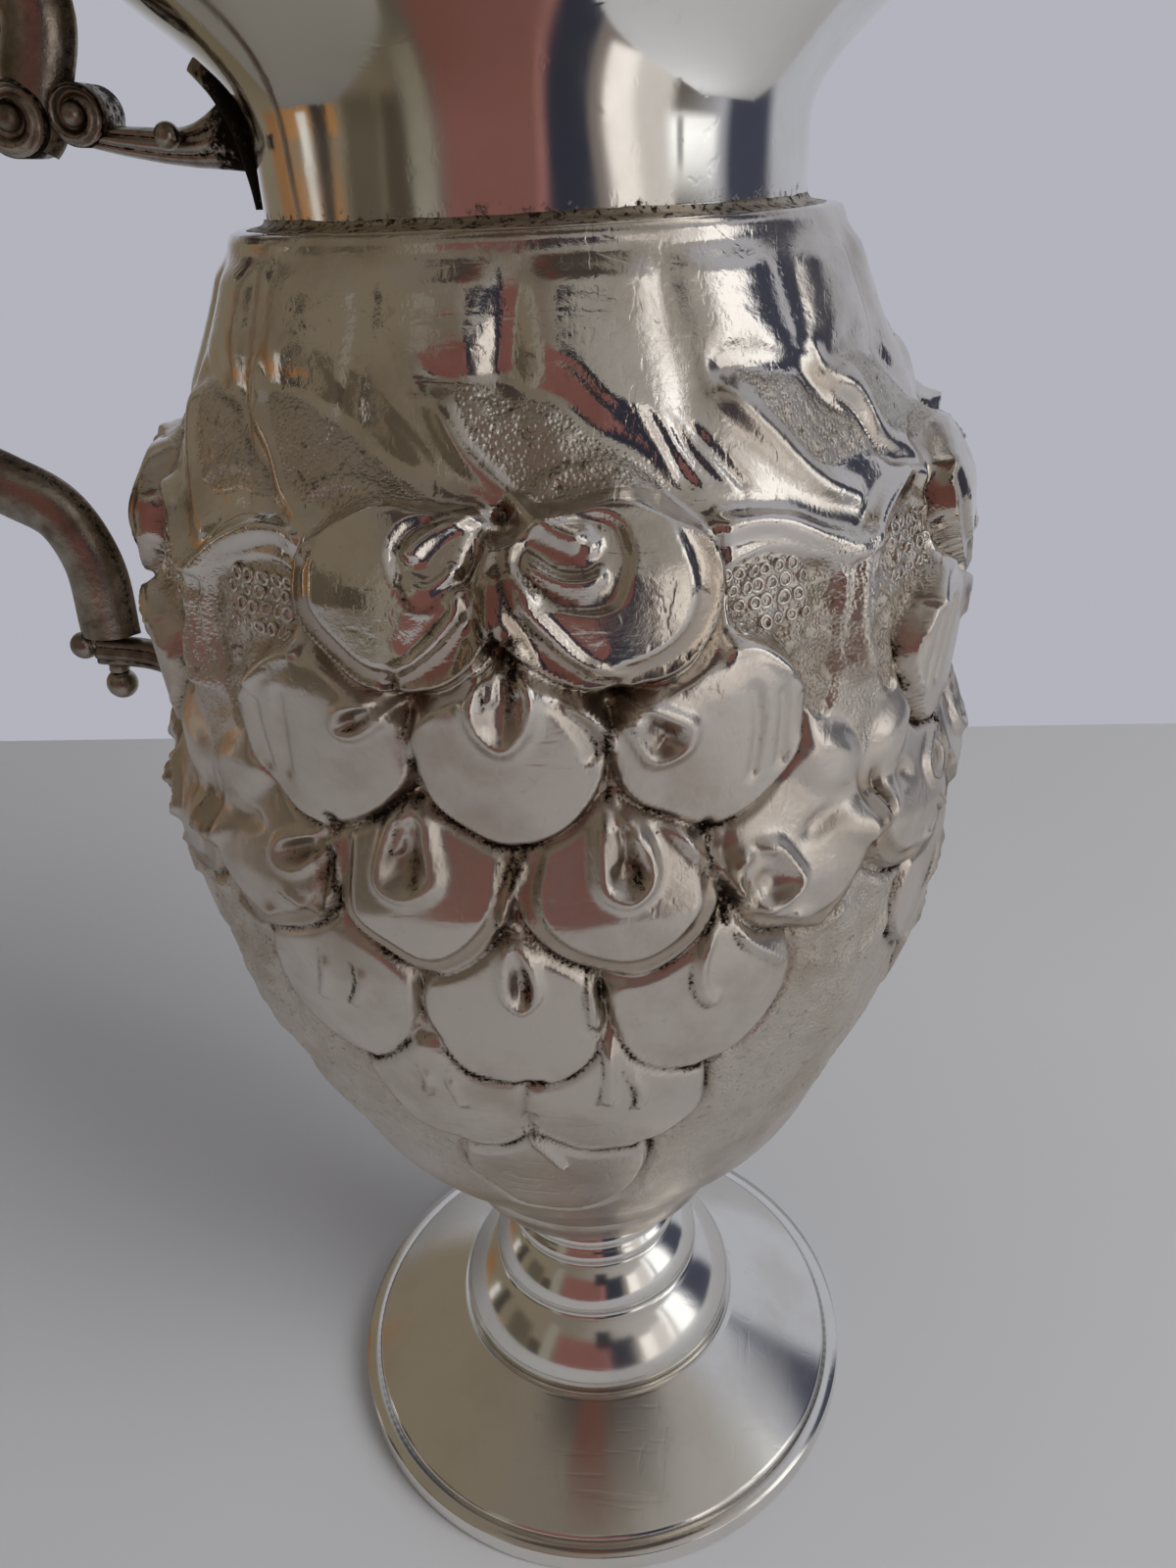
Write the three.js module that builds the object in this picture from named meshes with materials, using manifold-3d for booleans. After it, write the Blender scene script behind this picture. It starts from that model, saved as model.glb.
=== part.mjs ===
// A footed silver cream jug: a raised and chased vessel on a spun foot, with a flared neck soldered
// to its shoulder and a cast scroll handle. Millimetres, +Z up. The jug stands on Z = 0 about the
// Z axis, pours towards +X and is held at -X.
import * as THREE from "three";
import { mergeVertices } from "three/addons/utils/BufferGeometryUtils.js";
import Module from "manifold-3d";

const wasm = await Module();
wasm.setup();

// Metal and seats
const SHEET = 1.2; // wall of the raised and spun pieces
const SOLDER_GAP = 0.3; // where a piece meets a curved neighbour

// Foot: a rolled rim, a spun dome and a turned stem
const FOOT_RADIUS = 40.9;
const FOOT_RIM_HEIGHT = 3.4;
const FOOT_RIM_WIDTH = 4.4;
const DOME_STEP = 2.6; // the dome's edge stands back this far from the rim
const DOME_EDGE = 0.6;
const DOME_RISE = 9.4;
const BELL_RADIUS = 22.4;
const LOWER_BELL_HEIGHT = 10.4;
const LOWER_BELL_TOP_RADIUS = 15.6;
const UPPER_BELL_RADIUS = 16.6;
const UPPER_BELL_HEIGHT = 7;
const STEM_RADIUS = 12.4;
const STEM_RING_COUNT = 2;
const STEM_RING_HEIGHT = 3.6;
const STEM_RING_BULGE = 1.2;
const STEM_TOP_HEIGHT = 4.2;
const STEM_TOP_RADIUS = 14; // also the flat under the vessel that rests on it

// Vessel
const BODY_HEIGHT = 133.4;
const BOWL_RADIUS = 19.4; // where the rounded underside turns up into the bowl
const BOWL_LIFT = 2;
const BELLY_RADIUS = 46.4;
const BELLY_HEIGHT = 69;
const SHOULDER_RADIUS = 43.2;
const SHOULDER_HEIGHT = 106.8;
const COLLAR_LEDGE = 3.9; // the shoulder's edge stands out of the neck by this much
const COLLAR_EDGE = 1; // rounding where the shoulder turns in to the collar ledge

// Chased bunches, alike and evenly spaced, each a stack of rows of lobes
const BUNCH_COUNT = 4;
const LOBES_IN_ROW = [2, 3, 4, 3, 2, 1];
const LOBE_PITCH_DEG = 22.5;
const LOBE_HALF_ANGLE_DEG = 11.6;
const LOBE_HALF_HEIGHT = 9.6;
const LOBE_RISE = 1.9;
const LOBE_TILT = 0.35; // share by which a lobe's lower edge stands prouder than its middle
const TOP_ROW_HEIGHT = 107.3;
const ROW_STEP = 13.5;
const FLUTE_COUNT = 16;
const FLUTE_RISE = 0.8;

// Leaves on the shoulder over each bunch, all slanting the same way round, and a swag between two bunches
const LEAF_TIPS_DEG = [-41, -12, 27]; // from the middle of the bunch
const LEAF_TIP_HEIGHT = 123.6;
const LEAF_SPAN_DEG = 35;
const LEAF_FALL = 12.4; // from its tip down to its far end
const LEAF_HALF_BREADTH = 4.6;
const LEAF_RISE = 1.5;
const LEAF_GROUND_RISE = 0.8; // of the leaf's sunk middle
const SWAG_HALF_ANGLE_DEG = 21;
const SWAG_HEIGHT = 105.8; // of its lowest point
const SWAG_ARCH = 4.4; // by which its ends stand above that point
const SWAG_RISE = 1.3;
const SWAG_HALF_BREADTH = 1.5;

// Neck and pouring lip
const NECK_RADIUS = 27.5;
const NECK_STRAIGHT = 7;
const NECK_HEIGHT = 22.6;
const LIP_RADIUS = 41.6; // at the mouth's two ends
const SIDE_FLARE = 0.2; // the mouth is an oval: its sides flare by this share of what its ends do
const LIP_ROLL = 0.7; // the lip is thickened by this much all round
const SPIGOT_DEPTH = 3;
const SPIGOT_STEP = 2.2; // shoulder of the neck that rests on the collar ledge
const SPOUT_REACH = 10;
const SPOUT_LIFT = 6;
const SPOUT_SHARPNESS = 5;

// Handle
const HANDLE_CLEAR = 3.8; // between the lip and the scroll's upright
const HANDLE_REACH = 86; // of the scroll's middle line from the jug's axis
const HANDLE_TOP = 32; // of the scroll's middle line above the collar ledge
const SCROLL_THICKNESS = 5.4;
const SCROLL_WIDTH = 7;
const SCROLL_END_SHARE = 0.72; // thickness left at the scroll's ends
const SCROLL_VOLUTE_RADIUS = 3.6;
const ARM_HEIGHT = 8.6; // of the upper arm's root above the collar ledge
const ARM_RADIUS = 2.3;
const ARM_PAD_HEIGHT = 14;
const ARM_PAD_WIDTH = 11;
const ARM_PAD_THICKNESS = 1.8;
const ARM_VOLUTE_RADIUS = 2.9;
const VOLUTE_HALF_WIDTH = 3;
const VOLUTE_CHAMFER = 0.5;
const BRACKET_DROP = 47.4; // from the collar ledge down to the bracket's middle
const BRACKET_REACH = 14;
const BRACKET_FALL = 3.6; // from its outer end down to its root on the vessel
const BRACKET_RADIUS = 1.9;
const TAIL_LENGTH = 19;
const TAIL_WIDTH = 7;
const TAIL_STAND = 1.6; // of the leaf's middle line off the lobes
const TAIL_END_SHARE = 0.66; // thickness left at the leaf's end
const SMALL_BALL = 1.6;
const BRACKET_BALL = 1.9;
const EYE_BALL = 1.3;

// Facets
const AROUND_BODY = 2 * FLUTE_COUNT; // a ridge and a valley for each flute
const AROUND_TURNED = 32;
const AROUND_STEM = 24;
const AROUND_BAR = 8;
const AROUND_LOBE = 8;
const AROUND_LEAF = 8;
const AROUND_BALL = 8;
const ALONG_SCROLL = 32;
const SLIVER = 0.1; // facets thinner than this, where chased forms cross, are merged

// Levels and places worked out from the sizes above
const DOME_SEAT = FOOT_RIM_HEIGHT;
const STEM_SEAT = DOME_SEAT + DOME_EDGE + DOME_RISE;
const BODY_SEAT = STEM_SEAT + LOWER_BELL_HEIGHT + UPPER_BELL_HEIGHT
  + STEM_RING_COUNT * STEM_RING_HEIGHT + STEM_TOP_HEIGHT;
const LEDGE = BODY_SEAT + BODY_HEIGHT;
const COLLAR_RADIUS = NECK_RADIUS + COLLAR_LEDGE;
const SPIGOT_RADIUS = NECK_RADIUS - SPIGOT_STEP;

const { degToRad, lerp, smoothstep } = THREE.MathUtils;
const pair = (radius, height) => new THREE.Vector2(radius, height);
const point = (radius, angle, z) =>
  new THREE.Vector3(radius * Math.cos(angle), radius * Math.sin(angle), z);

// Closes a stack of rings into a surface: capped at both ends, or joined end to end.
function skin(rings, endToEnd = false) {
  const count = rings[0].length;
  const positions = rings.flat().flatMap((p) => [p.x, p.y, p.z]);
  const index = [];
  const spans = endToEnd ? rings.length : rings.length - 1;
  for (let i = 0; i < spans; i++) {
    for (let j = 0; j < count; j++) {
      const a = i * count + j;
      const b = i * count + ((j + 1) % count);
      const step = (((i + 1) % rings.length) - i) * count;
      index.push(a, b, b + step, a, b + step, a + step);
    }
  }
  const cap = (ring, start, turnOver) => {
    const middle = positions.length / 3;
    const centre = ring.reduce((sum, p) => sum.add(p), new THREE.Vector3()).divideScalar(count);
    positions.push(centre.x, centre.y, centre.z);
    for (let j = 0; j < count; j++) {
      const a = start + j;
      const b = start + ((j + 1) % count);
      index.push(middle, turnOver ? b : a, turnOver ? a : b);
    }
  };
  if (!endToEnd) {
    cap(rings[0], 0, true);
    cap(rings.at(-1), (rings.length - 1) * count, false);
  }
  const geometry = new THREE.BufferGeometry();
  geometry.setAttribute("position", new THREE.Float32BufferAttribute(positions, 3));
  geometry.setIndex(index);
  return geometry;
}

// Rings about the jug's axis from a profile of [radius, z] pairs, or of functions of the angle.
function turned(profile, segments, endToEnd = false) {
  const rings = profile.map((entry) =>
    Array.from({ length: segments }, (_, j) => {
      const angle = (2 * Math.PI * j) / segments;
      const [radius, z] = typeof entry === "function" ? entry(angle) : entry;
      return point(radius, angle, z);
    }),
  );
  return skin(rings, endToEnd);
}

// A bar swept along a curve in the handle's plane; the section gives [along normal, along Y] pairs.
function swept(curve, section, steps) {
  const across = new THREE.Vector3(0, 1, 0);
  const rings = Array.from({ length: steps + 1 }, (_, i) => {
    const t = i / steps;
    const centre = curve.getPointAt(t);
    const normal = across.clone().cross(curve.getTangentAt(t)).normalize();
    return section(t).map(([n, y]) =>
      centre.clone().addScaledVector(normal, n).addScaledVector(across, y),
    );
  });
  return skin(rings);
}

const oval = (halfThick, halfWide) =>
  Array.from({ length: AROUND_BAR }, (_, j) => {
    const angle = (2 * Math.PI * j) / AROUND_BAR;
    return [halfThick * Math.cos(angle), halfWide * Math.sin(angle)];
  });

const planeCurve = (pairs) =>
  new THREE.CatmullRomCurve3(
    pairs.map(([x, z]) => new THREE.Vector3(x, 0, z)), false, "centripetal",
  );

function solidOf(geometry) {
  const bare = geometry.clone();
  bare.deleteAttribute("normal");
  bare.deleteAttribute("uv");
  const merged = mergeVertices(bare);
  return new wasm.Manifold(new wasm.Mesh({
    numProp: 3,
    vertProperties: merged.attributes.position.array,
    triVerts: new Uint32Array(merged.index.array),
  }));
}

function geometryOf(solid) {
  const { vertProperties, triVerts } = solid.getMesh();
  const geometry = new THREE.BufferGeometry();
  geometry.setAttribute("position", new THREE.BufferAttribute(vertProperties, 3));
  geometry.setIndex(new THREE.BufferAttribute(triVerts, 1));
  return geometry;
}

// Foot

function footRim() {
  const inner = FOOT_RADIUS - FOOT_RIM_WIDTH;
  const round = FOOT_RIM_HEIGHT / 2;
  const profile = [[inner, 0]];
  const steps = 4;
  for (let i = 0; i <= steps; i++) {
    const turn = Math.PI * (i / steps - 0.5);
    profile.push([FOOT_RADIUS - round + round * Math.cos(turn), round + round * Math.sin(turn)]);
  }
  profile.push([inner, FOOT_RIM_HEIGHT]);
  return turned(profile, AROUND_TURNED, true);
}

// A thin trumpet with a flat ring on top for the stem and a flat hem below on the rim.
function footDome() {
  const edge = FOOT_RADIUS - DOME_STEP;
  const hem = edge - 2 * SHEET;
  const seat = BELL_RADIUS + SHEET;
  const hole = BELL_RADIUS - 3 * SHEET;
  const trumpet = (from, to) => {
    const bend = pair((from.x + to.x) / 2, lerp(from.y, to.y, 0.35));
    return new THREE.QuadraticBezierCurve(from, bend, to).getPoints(4).map((p) => [p.x, p.y]);
  };
  const over = trumpet(pair(edge, DOME_SEAT + DOME_EDGE), pair(seat, STEM_SEAT));
  const under = trumpet(pair(hem, DOME_SEAT), pair(seat - SHEET, STEM_SEAT - SHEET));
  return turned(
    [[edge, DOME_SEAT], ...over, [hole, STEM_SEAT], [hole, STEM_SEAT - SHEET], ...under.reverse()],
    AROUND_TURNED, true,
  );
}

// Two bells, a stack of rings and a flared top, hollow under the lower bell.
function footStem() {
  const profile = [];
  let z = STEM_SEAT;
  const bell = (from, to, height) => {
    const steps = 4;
    for (let i = 0; i <= steps; i++) {
      const turn = (Math.PI / 2) * (i / steps);
      profile.push([to + (from - to) * Math.cos(turn), z + (height * i) / steps]);
    }
    z += height;
  };
  bell(BELL_RADIUS, LOWER_BELL_TOP_RADIUS, LOWER_BELL_HEIGHT);
  profile.pop();
  bell(UPPER_BELL_RADIUS, STEM_RADIUS, UPPER_BELL_HEIGHT);
  for (let ring = 0; ring < STEM_RING_COUNT; ring++) {
    for (const share of [0.2, 0.5, 0.8]) {
      const bulge = STEM_RING_BULGE * Math.sin(Math.PI * share);
      profile.push([STEM_RADIUS + bulge, z + share * STEM_RING_HEIGHT]);
    }
    z += STEM_RING_HEIGHT;
    profile.push([STEM_RADIUS, z]);
  }
  profile.push([STEM_TOP_RADIUS, BODY_SEAT]);
  const cup = [
    [LOWER_BELL_TOP_RADIUS / 2, STEM_SEAT + LOWER_BELL_HEIGHT * 0.7],
    [LOWER_BELL_TOP_RADIUS - SHEET, STEM_SEAT + LOWER_BELL_HEIGHT * 0.6],
    [BELL_RADIUS - 1.5 * SHEET, STEM_SEAT],
  ];
  return turned([...cup, ...profile], AROUND_STEM);
}

// Vessel

// The plain body's outline, as radius and height, from the bowl up to the collar edge. The curves'
// handles lie at shares of the step in radius and in height from one point to the next.
function bodyOutline() {
  const bowl = pair(BOWL_RADIUS, BOWL_LIFT);
  const belly = pair(BELLY_RADIUS, BELLY_HEIGHT);
  const shoulder = pair(SHOULDER_RADIUS, SHOULDER_HEIGHT);
  const collar = pair(COLLAR_RADIUS, BODY_HEIGHT - COLLAR_EDGE);
  const between = (a, b, r, h) => pair(lerp(a.x, b.x, r), lerp(a.y, b.y, h));
  const outline = new THREE.CurvePath();
  outline.add(new THREE.CubicBezierCurve(
    bowl, between(bowl, belly, 0.26, 0.21), between(bowl, belly, 1, 0.61), belly));
  outline.add(new THREE.CubicBezierCurve(
    belly, between(belly, shoulder, 0, 0.26), between(belly, shoulder, 0.7, 0.72), shoulder));
  outline.add(new THREE.CubicBezierCurve(
    shoulder, between(shoulder, collar, 0.14, 0.17), between(shoulder, collar, 0.8, 0.64), collar));
  return outline.getPoints(24);
}
const outline = bodyOutline();

function plainRadius(height) {
  const next = outline.findIndex((p) => p.y >= height);
  if (next <= 0) return outline.at(next).x;
  const [low, high] = [outline[next - 1], outline[next]];
  return lerp(low.x, high.x, (height - low.y) / (high.y - low.y));
}

// Soft upright flutes on the shoulder, above the lobes.
function flute(angle, height) {
  const above = smoothstep(height, TOP_ROW_HEIGHT, TOP_ROW_HEIGHT + ROW_STEP);
  const below = 1 - smoothstep(height, BODY_HEIGHT - ROW_STEP, BODY_HEIGHT - COLLAR_EDGE);
  return FLUTE_RISE * above * below * (0.5 - 0.5 * Math.cos(FLUTE_COUNT * angle));
}

// One chased lobe: a cap bent to the vessel, proudest towards its lower edge, with its root in the wall.
// Its rings lie at shares of its half size and stand proud by shares of its rise.
function lobe(angle, height, grow) {
  const halfAngle = degToRad(LOBE_HALF_ANGLE_DEG) + grow / plainRadius(height);
  const root = { share: 1, rise: () => -SHEET / 2 };
  const step = (share, proud) => ({
    share,
    rise: (up) => LOBE_RISE * proud * (1 - LOBE_TILT * up) + grow,
  });
  return skin([root, step(1, 0.3), step(0.6, 0.9)].map(({ share, rise }) =>
    Array.from({ length: AROUND_LOBE }, (_, j) => {
      const turn = (2 * Math.PI * j) / AROUND_LOBE;
      const up = share * Math.sin(turn);
      const level = height + (LOBE_HALF_HEIGHT + grow) * up;
      const side = angle + halfAngle * share * Math.cos(turn);
      return point(plainRadius(level) + rise(up), side, BODY_SEAT + level);
    })));
}

// One leaf of the shoulder: a pointed plate bent to the vessel, with a raised edge about a sunk middle
// and its root in the wall. Its rings lie at shares of its size.
function leaf(angle, grow) {
  const span = degToRad(LEAF_SPAN_DEG);
  const ring = (share, rise) => Array.from({ length: AROUND_LEAF }, (_, j) => {
    const turn = (2 * Math.PI * j) / AROUND_LEAF;
    const along = 0.5 + 0.5 * share * Math.cos(turn);
    const breadth = (LEAF_HALF_BREADTH + grow) * share * Math.sin(turn) * Math.abs(Math.sin(turn));
    const level = LEAF_TIP_HEIGHT - LEAF_FALL * along + breadth;
    return point(plainRadius(level) + rise, angle + span * along, BODY_SEAT + level);
  });
  return skin([ring(1, -SHEET / 2), ring(0.92, LEAF_RISE + grow), ring(0.6, LEAF_GROUND_RISE + grow)]);
}

// One swag: a bar with a ridge that hangs round the vessel between two bunches, its root in the wall.
function swag(angle, grow) {
  const steps = 4;
  const half = SWAG_HALF_BREADTH + grow;
  const section = [[-SHEET / 2, half], [-SHEET / 2, -half], [SWAG_RISE + grow, 0]];
  return skin(Array.from({ length: steps + 1 }, (_, i) => {
    const along = (2 * i) / steps - 1;
    const level = SWAG_HEIGHT + SWAG_ARCH * Math.sin((Math.PI / 2) * along) ** 2;
    const side = angle + degToRad(SWAG_HALF_ANGLE_DEG) * along;
    return section.map(([out, up]) =>
      point(plainRadius(level + up) + out, side, BODY_SEAT + level + up));
  }));
}

// The outside of the vessel as a filled solid, grown all round by a clearance.
function vesselOutside(grow = 0) {
  const rows = [];
  const fill = (from, to, count) => {
    for (let i = 0; i < count; i++) rows.push(lerp(from, to, i / count));
  };
  fill(BOWL_LIFT, SHOULDER_HEIGHT, 8);
  fill(SHOULDER_HEIGHT, BODY_HEIGHT - COLLAR_EDGE, 5);
  rows.push(BODY_HEIGHT - COLLAR_EDGE);
  const wall = rows.map((height) => (angle) =>
    [plainRadius(height) + flute(angle, height) + grow, BODY_SEAT + height]);
  let vessel = solidOf(turned([
    [STEM_TOP_RADIUS + grow, BODY_SEAT - grow],
    ...wall,
    [COLLAR_RADIUS - COLLAR_EDGE + grow, LEDGE + grow],
  ], AROUND_BODY));
  for (let bunch = 0; bunch < BUNCH_COUNT; bunch++) {
    const middle = (360 / BUNCH_COUNT) * bunch;
    LOBES_IN_ROW.forEach((count, row) => {
      for (let i = 0; i < count; i++) {
        const turn = middle + (i - (count - 1) / 2) * LOBE_PITCH_DEG;
        vessel = vessel.add(solidOf(lobe(degToRad(turn), TOP_ROW_HEIGHT - row * ROW_STEP, grow)));
      }
    });
    for (const tip of LEAF_TIPS_DEG) vessel = vessel.add(solidOf(leaf(degToRad(middle + tip), grow)));
    vessel = vessel.add(solidOf(swag(degToRad(middle + 180 / BUNCH_COUNT), grow)));
  }
  return vessel;
}

function body() {
  const mouth = SPIGOT_RADIUS + SOLDER_GAP;
  const floor = BOWL_LIFT + SHEET;
  const roof = BODY_HEIGHT - 2 * SHEET;
  const inside = [0, 0.08, 0.22, 0.38, 0.55, 0.7, 0.82, 0.92, 1].map((share) => {
    const height = lerp(floor, roof, share);
    return [plainRadius(height) - SHEET, BODY_SEAT + height];
  });
  const cavity = turned([
    [STEM_TOP_RADIUS, BODY_SEAT + SHEET],
    ...inside,
    [mouth, BODY_SEAT + roof],
    [mouth, LEDGE + SHEET],
  ], AROUND_TURNED);
  return geometryOf(vesselOutside().subtract(solidOf(cavity)).simplify(SLIVER));
}

// Neck

// The outside of the neck as radius and height above the ledge: straight, then flared to the lip.
const neckRows = [
  pair(NECK_RADIUS, 0),
  ...new THREE.CubicBezierCurve(
    pair(NECK_RADIUS, NECK_STRAIGHT),
    pair(NECK_RADIUS, lerp(NECK_STRAIGHT, NECK_HEIGHT, 0.35)),
    pair(lerp(NECK_RADIUS, LIP_RADIUS, 0.4), lerp(NECK_STRAIGHT, NECK_HEIGHT, 0.55)),
    pair(LIP_RADIUS, NECK_HEIGHT),
  ).getPoints(5),
];

function neckRadius(height) {
  const next = neckRows.findIndex((row) => row.y >= height);
  const [low, high] = [neckRows[next - 1], neckRows[next]];
  return lerp(low.x, high.x, (height - low.y) / (high.y - low.y));
}

// One point of the neck: the flare is drawn out and up towards the pour.
function neckPoint(row, angle, inset = 0) {
  const share = Math.max(0, (row.y - NECK_STRAIGHT) / (NECK_HEIGHT - NECK_STRAIGHT));
  const pull = Math.max(0, Math.cos(angle)) ** SPOUT_SHARPNESS * share * share;
  const radius = lerp(NECK_RADIUS, row.x, lerp(1, SIDE_FLARE, Math.sin(angle) ** 2));
  return [radius + SPOUT_REACH * pull - inset, LEDGE + row.y + SPOUT_LIFT * pull];
}

function neck() {
  const outside = neckRows.map((row) => (angle) => neckPoint(row, angle));
  const roll = [[LIP_ROLL, LIP_ROLL], [-SHEET / 2, 2 * LIP_ROLL]].map(([out, up]) => (angle) => {
    const [radius, z] = neckPoint(neckRows.at(-1), angle);
    return [radius + out, z + up];
  });
  const leaningWall = SHEET * Math.SQRT2; // measured level, where the flare leans at 45 degrees
  const inside = neckRows.slice(1).reverse().map((row) => (angle) => neckPoint(row, angle, leaningWall));
  const bore = SPIGOT_RADIUS - SHEET;
  return turned([
    [SPIGOT_RADIUS, LEDGE - SPIGOT_DEPTH],
    [SPIGOT_RADIUS, LEDGE],
    ...outside,
    ...roll,
    ...inside,
    [bore, LEDGE + SHEET],
    [bore, LEDGE - SPIGOT_DEPTH],
  ], AROUND_TURNED, true);
}

// The outside of the neck as a filled solid, grown by a clearance, without the pouring lip.
const neckOutside = (grow) =>
  solidOf(turned(neckRows.map((row) => [row.x + grow, LEDGE + row.y]), AROUND_TURNED));

// Handle

const roomForVessel = vesselOutside(SOLDER_GAP);
const scrollHalf = SCROLL_THICKNESS / 2;
const stemX = -(LIP_RADIUS + LIP_ROLL + HANDLE_CLEAR + scrollHalf);
const armRoot = { x: -NECK_RADIUS, z: LEDGE + ARM_HEIGHT };
const armVolute = { x: stemX + scrollHalf + SOLDER_GAP, z: armRoot.z + ARM_RADIUS };
const scrollVolute = {
  x: armVolute.x - ARM_VOLUTE_RADIUS - SOLDER_GAP - SCROLL_VOLUTE_RADIUS,
  z: armVolute.z,
};
const bracketZ = LEDGE - BRACKET_DROP;
const bracketRootX = -plainRadius(BODY_HEIGHT - BRACKET_DROP);
const bracketTipX = bracketRootX - BRACKET_REACH;
const scrollEnd = { x: bracketTipX + BRACKET_RADIUS, z: bracketZ + BRACKET_RADIUS + SOLDER_GAP };
const tailHeight = BODY_HEIGHT - BRACKET_DROP - TAIL_LENGTH;
const tail = { x: -plainRadius(tailHeight) - LOBE_RISE - TAIL_STAND, z: BODY_SEAT + tailHeight };

// A flat drum across the handle, the rolled end of a scroll.
function drum({ x, z }, radius) {
  const side = VOLUTE_HALF_WIDTH;
  const inner = radius - VOLUTE_CHAMFER;
  const rim = side - VOLUTE_CHAMFER;
  const profile = [[0, -side], [inner, -side], [radius, -rim], [radius, rim], [inner, side], [0, side]];
  return new THREE.LatheGeometry(profile.map(([r, y]) => pair(r, y)), 2 * AROUND_BALL).translate(x, 0, z);
}

// From a pad that lies along the neck out to its own volute, soldered beside the scroll's.
function upperArm() {
  const reach = armVolute.x - armRoot.x;
  const low = armVolute.z - ARM_VOLUTE_RADIUS;
  const armCurve = planeCurve([
    [armRoot.x, armRoot.z],
    [armRoot.x + reach * 0.4, armRoot.z - ARM_RADIUS / 3],
    [armRoot.x + reach * 0.75, low],
    [armVolute.x, low + ARM_RADIUS / 2],
  ]);
  const arm = swept(armCurve, (t) => {
    const spread = Math.max(0, 1 - 2 * t) ** 2;
    return oval(
      lerp(ARM_RADIUS * (1 - t / 2), ARM_PAD_HEIGHT / 3, spread),
      lerp(ARM_RADIUS, ARM_PAD_WIDTH / 3, spread),
    );
  }, 10);
  const padCurve = planeCurve([-1, -0.5, 0, 0.5, 1].map((share) => {
    const height = ARM_HEIGHT + (share * ARM_PAD_HEIGHT) / 2;
    return [-neckRadius(height), LEDGE + height];
  }));
  const pad = swept(padCurve, (t) => {
    const spread = Math.sin(Math.PI * lerp(0.12, 0.88, t));
    return oval(ARM_PAD_THICKNESS + SOLDER_GAP, (ARM_PAD_WIDTH / 2) * spread);
  }, 6);
  const volute = solidOf(drum(armVolute, ARM_VOLUTE_RADIUS));
  const whole = solidOf(arm).add(solidOf(pad)).add(volute);
  return geometryOf(whole.subtract(roomForVessel).subtract(neckOutside(SOLDER_GAP)));
}

const scrollTaper = (t) => 1 - (1 - SCROLL_END_SHARE) * (2 * t - 1) ** 2;

// The big open loop: up from its rolled end beside the arm, over, out and down to the bracket.
function mainScroll() {
  const span = -HANDLE_REACH - stemX;
  const rise = LEDGE + HANDLE_TOP - scrollEnd.z;
  const loop = (reach, up) => [stemX + span * reach, scrollEnd.z + rise * up];
  const { x, z } = scrollVolute;
  const curve = planeCurve([
    [x, z - SCROLL_VOLUTE_RADIUS + scrollHalf],
    [x + SCROLL_VOLUTE_RADIUS - scrollHalf, z],
    [x + SCROLL_VOLUTE_RADIUS - scrollHalf / 2, z + SCROLL_VOLUTE_RADIUS],
    [stemX, z + 2 * SCROLL_VOLUTE_RADIUS + scrollHalf],
    loop(0.22, 0.96), loop(0.5, 1), loop(0.78, 0.93), loop(0.95, 0.8), loop(1, 0.64),
    loop(0.95, 0.5), loop(0.82, 0.385), loop(0.62, 0.29),
    [scrollEnd.x - 3 * scrollHalf, scrollEnd.z + rise * 0.245],
    [scrollEnd.x - scrollHalf, scrollEnd.z + rise * 0.2],
    [scrollEnd.x, scrollEnd.z + rise * 0.12],
    [scrollEnd.x, scrollEnd.z],
  ]);
  const bar = swept(curve, (t) => {
    const taper = scrollTaper(t);
    return oval(scrollHalf * taper, (SCROLL_WIDTH / 2) * taper);
  }, ALONG_SCROLL);
  return geometryOf(solidOf(bar).add(solidOf(drum(scrollVolute, SCROLL_VOLUTE_RADIUS))));
}

// A short bar that falls from the scroll's end to the vessel, and a leaf that runs down from its root.
function lowerBracket() {
  const rootZ = bracketZ - BRACKET_FALL;
  const face = bracketRootX - LOBE_RISE - TAIL_STAND;
  const barCurve = planeCurve([
    [bracketTipX, bracketZ],
    [bracketRootX - BRACKET_REACH / 2, bracketZ - BRACKET_FALL / 4],
    [bracketRootX + 2 * SHEET, rootZ],
  ]);
  const leafCurve = planeCurve([[face, bracketZ], [face, rootZ - BRACKET_RADIUS], [tail.x, tail.z]]);
  const bar = swept(barCurve, () => oval(BRACKET_RADIUS, BRACKET_RADIUS), 5);
  const leaf = swept(leafCurve, (t) => {
    const spread = Math.sin(Math.PI * lerp(0.2, 0.9, t));
    return oval(BRACKET_RADIUS * lerp(1, TAIL_END_SHARE, t), (TAIL_WIDTH / 2) * spread);
  }, 6);
  return geometryOf(solidOf(bar).add(solidOf(leaf)).subtract(roomForVessel));
}

const ball = (radius, x, y, z) =>
  new THREE.SphereGeometry(radius, AROUND_BALL, AROUND_BALL / 2 + 1).translate(x, y, z);

// A round-topped eye standing on the flat side of a volute: side is 1 or -1 along Y.
function eye({ x, z }, side) {
  const rim = [0, 30, 60].map((turn) =>
    pair(EYE_BALL * Math.cos(degToRad(turn)), EYE_BALL * Math.sin(degToRad(turn))));
  const dome = new THREE.LatheGeometry([pair(0, 0), ...rim, pair(0, EYE_BALL)], AROUND_BALL);
  if (side < 0) dome.rotateZ(Math.PI);
  return dome.translate(x, side * VOLUTE_HALF_WIDTH, z);
}

// Metals
const polished = new THREE.MeshStandardMaterial({ color: 0xd6d1c7, metalness: 1, roughness: 0.14 });
const chased = new THREE.MeshStandardMaterial({ color: 0xc9c2b4, metalness: 1, roughness: 0.24 });
const antique = new THREE.MeshStandardMaterial({ color: 0x9a9184, metalness: 1, roughness: 0.36 });

const jug = new THREE.Group();

function place(name, geometry, material) {
  const mesh = new THREE.Mesh(geometry, material);
  mesh.name = name;
  jug.add(mesh);
}

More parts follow.
